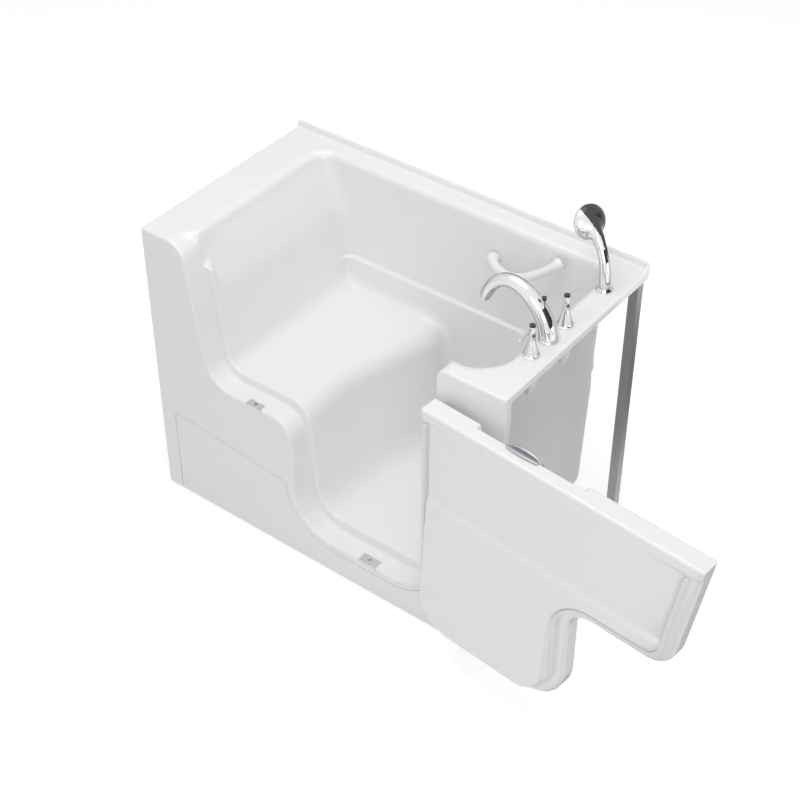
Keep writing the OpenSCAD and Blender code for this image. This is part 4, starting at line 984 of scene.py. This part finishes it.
# %% Leveling feet
FEET = [(31, 27, 0), (1315, 27, 0), (31, 729, 0), (1315, 729, 0)]
foot = [(0, 18.6), (0.8, 20), (6.4, 20), (8, 18.4), (8.2, 7.4), (9.4, 6), (39, 6)]
give(turned("leveling_feet_visual", foot, FEET, SCREW_STEEL), "tub", "foot_rubber", "leveling_feet")

# %% [markdown]
# ## Finishes of the engineering pieces
# Pieces whose shape is already right keep it and get a finish.

# %% Dress the engineering nodes
NODE_FINISH = {
    BRUSHED: ["base_rail_front", "base_rail_back", "cross_rail_left", "cross_rail_centre",
              "cross_rail_right", "post_front_left", "hinge_post", "post_back_left",
              "post_back_right", "seat_frame", "footwell_frame", "door_frame"],
    LATCH_STEEL: ["panel_clips", "upper_catch", "lower_catch", "hinge_leaf_tub",
                  "hinge_leaf_door", "hinge_pin", "latch_cam", "upper_bolt", "lower_bolt",
                  "bolt_guides", "door_handle", "handle_plate"],
    SCREW_STEEL: ["hinge_screws_tub", "hinge_screws_door", "foot_nuts"],
    CHROME: ["drain_flange", "drain_stopper", "overflow_plate", "overflow_knob", "spout_outlet",
             "spout", "diverter_knob", "tap_bases", "left_lever", "right_lever", "shower_ring",
             "hand_shower"],
    FOOT_RUBBER: ["leveling_feet", "centre_foot"],
    SEAL_RUBBER: ["door_seal"],
    PIPE_WHITE: ["waste_pipe", "overflow_pipe", "shower_socket", "valve_bodies", "mixer_pipe"],
    FACE_GREY: ["shower_face"],
    ACRYLIC: ["tub_shell", "front_shell", "access_panel", "door_outer_skin", "door_latch_pan",
              "door_skin_hinge", "door_skin_nose", "door_skin_wing", "door_inner_skin", "grab_bar"],
}
for mat, nodes in NODE_FINISH.items():
    for node in nodes:
        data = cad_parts[node].data
        data.materials.clear()
        data.materials.append(mat)
print("dressed nodes:", sum(len(nodes) for nodes in NODE_FINISH.values()))

# %% [markdown]
# ## Studio
# A plain pale floor, a large soft lamp above and dimmer ones at the side and the open end. The
# world shows white to the camera and in reflections, and lights the object at a lower level.

# %% Floor
FLOOR_HALF, FLOOR_GLOW, WORLD_LIGHT = 9, 0.52, 0.53
floor_mesh = bpy.data.meshes.new("studio_floor")
floor_mesh.from_pydata([(x * FLOOR_HALF, y * FLOOR_HALF, 0)
                        for x, y in ((-1, -1), (1, -1), (1, 1), (-1, 1))], [], [(0, 1, 2, 3)])
floor = bpy.data.objects.new("studio_floor", floor_mesh)
bpy.context.scene.collection.objects.link(floor)


def seen_rays(tree):
    """One where a ray comes from the camera, a reflection or a pane."""
    rays = tree.nodes.new("ShaderNodeLightPath")
    value = rays.outputs["Is Camera Ray"]
    for label in ("Is Glossy Ray", "Is Transmission Ray"):
        either = tree.nodes.new("ShaderNodeMath")
        either.operation = "MAXIMUM"
        tree.links.new(value, either.inputs[0])
        tree.links.new(rays.outputs[label], either.inputs[1])
        value = either.outputs[0]
    return value


white = bpy.data.materials.new("studio_white")
white.use_nodes = True
tree = white.node_tree
shader = tree.nodes["Principled BSDF"]
shader.inputs["Base Color"].default_value = (0.7, 0.7, 0.7, 1.0)
shader.inputs["Roughness"].default_value = 0.9
shader.inputs["Emission Color"].default_value = (1.0, 1.0, 1.0, 1.0)
glow = tree.nodes.new("ShaderNodeMath")
glow.operation = "MULTIPLY"
glow.inputs[1].default_value = FLOOR_GLOW
tree.links.new(seen_rays(tree), glow.inputs[0])
tree.links.new(glow.outputs[0], shader.inputs["Emission Strength"])
floor_mesh.materials.append(white)

# %% World and lamps
world = bpy.data.worlds.new("studio")
world.use_nodes = True
bpy.context.scene.world = world
tree = world.node_tree
tree.nodes.clear()
out = tree.nodes.new("ShaderNodeOutputWorld")
fill, show, mix = (tree.nodes.new("ShaderNode" + k)
                   for k in ("Background", "Background", "MixShader"))
fill.inputs["Color"].default_value = (1.0, 1.0, 1.0, 1.0)
show.inputs["Color"].default_value = (1.0, 1.0, 1.0, 1.0)
fill.inputs["Strength"].default_value = WORLD_LIGHT
tree.links.new(seen_rays(tree), mix.inputs[0])
tree.links.new(fill.outputs[0], mix.inputs[1])
tree.links.new(show.outputs[0], mix.inputs[2])
tree.links.new(mix.outputs[0], out.inputs["Surface"])


def lamp(name, place, target, size, power):
    """A round lamp of a size in metres and a power in watts, turned to a target."""
    data = bpy.data.lights.new(name, "AREA")
    data.shape, data.size, data.energy = "DISK", size, power
    obj = bpy.data.objects.new(name, data)
    bpy.context.scene.collection.objects.link(obj)
    obj.location = place
    aim = Vector(target) - Vector(place)
    obj.rotation_euler = aim.to_track_quat("-Z", "Y").to_euler()


lamp("key", (0.0, -0.6, 4.8), (0.0, 0, 0.4), 4.0, 72)
lamp("side", (3.2, -4.0, 2.4), (0.2, 0, 0.5), 3.0, 42)
lamp("end", (4.4, 0.8, 1.4), (0.5, 0, 0.6), 2.0, 24)

# %% [markdown]
# Chrome shows only what stands round it. Photographers put black cards out of the picture, so
# that a bright pipe gets dark lines along its sides. The cards show in reflections alone. The
# first lies flat by the open end, the second stands behind, and the third at the side.

# %% Black cards for the chrome
card_black = bpy.data.materials.new("studio_black")
card_black.use_nodes = True
shader = card_black.node_tree.nodes["Principled BSDF"]
shader.inputs["Base Color"].default_value = (0.015, 0.015, 0.015, 1.0)
CARDS = {"card_right": [(0.9, -1.6, 0.02), (2.6, -1.6, 0.02), (2.6, 1.4, 0.02), (0.9, 1.4, 0.02)],
         "card_back": [(-2.6, 2.2, 1.5), (0.6, 3.2, 1.5), (0.6, 3.2, 2.3), (-2.6, 2.2, 2.3)],
         "card_side": [(2.6, -1.0, 1.0), (2.6, 2.2, 1.0), (2.6, 2.2, 2.2), (2.6, -1.0, 2.2)]}
for name, corners in CARDS.items():
    data = bpy.data.meshes.new(name)
    data.from_pydata(corners, [], [(0, 1, 2, 3)])
    data.materials.append(card_black)
    card = bpy.data.objects.new(name, data)
    bpy.context.scene.collection.objects.link(card)
    for ray in ("camera", "diffuse", "shadow", "transmission"):
        setattr(card, "visible_" + ray, False)
print("cards:", len(CARDS))

# %% [markdown]
# The photo's view was solved from the tub's straight edges: its direction, place and lens.

# %% Camera
azimuth, elevation = math.radians(37.27), math.radians(40.16)
back = Vector((math.sin(azimuth) * math.cos(elevation), -math.cos(azimuth) * math.cos(elevation),
               math.sin(elevation)))
right = Vector((math.cos(azimuth), math.sin(azimuth), 0))
camera_data = bpy.data.cameras.new("camera")
camera_data.lens, camera_data.sensor_width = 76.13, 36.0
camera = bpy.data.objects.new("camera", camera_data)
bpy.context.scene.collection.objects.link(camera)
turn = Matrix((right, back.cross(right), back)).transposed().to_4x4()
camera.matrix_world = Matrix.Translation(Vector((2.5337, -3.2897, 3.9569))) @ turn
bpy.context.scene.camera = camera
bpy.context.scene.view_settings.view_transform = "Standard"
print("camera at", tuple(round(v, 3) for v in camera.location))
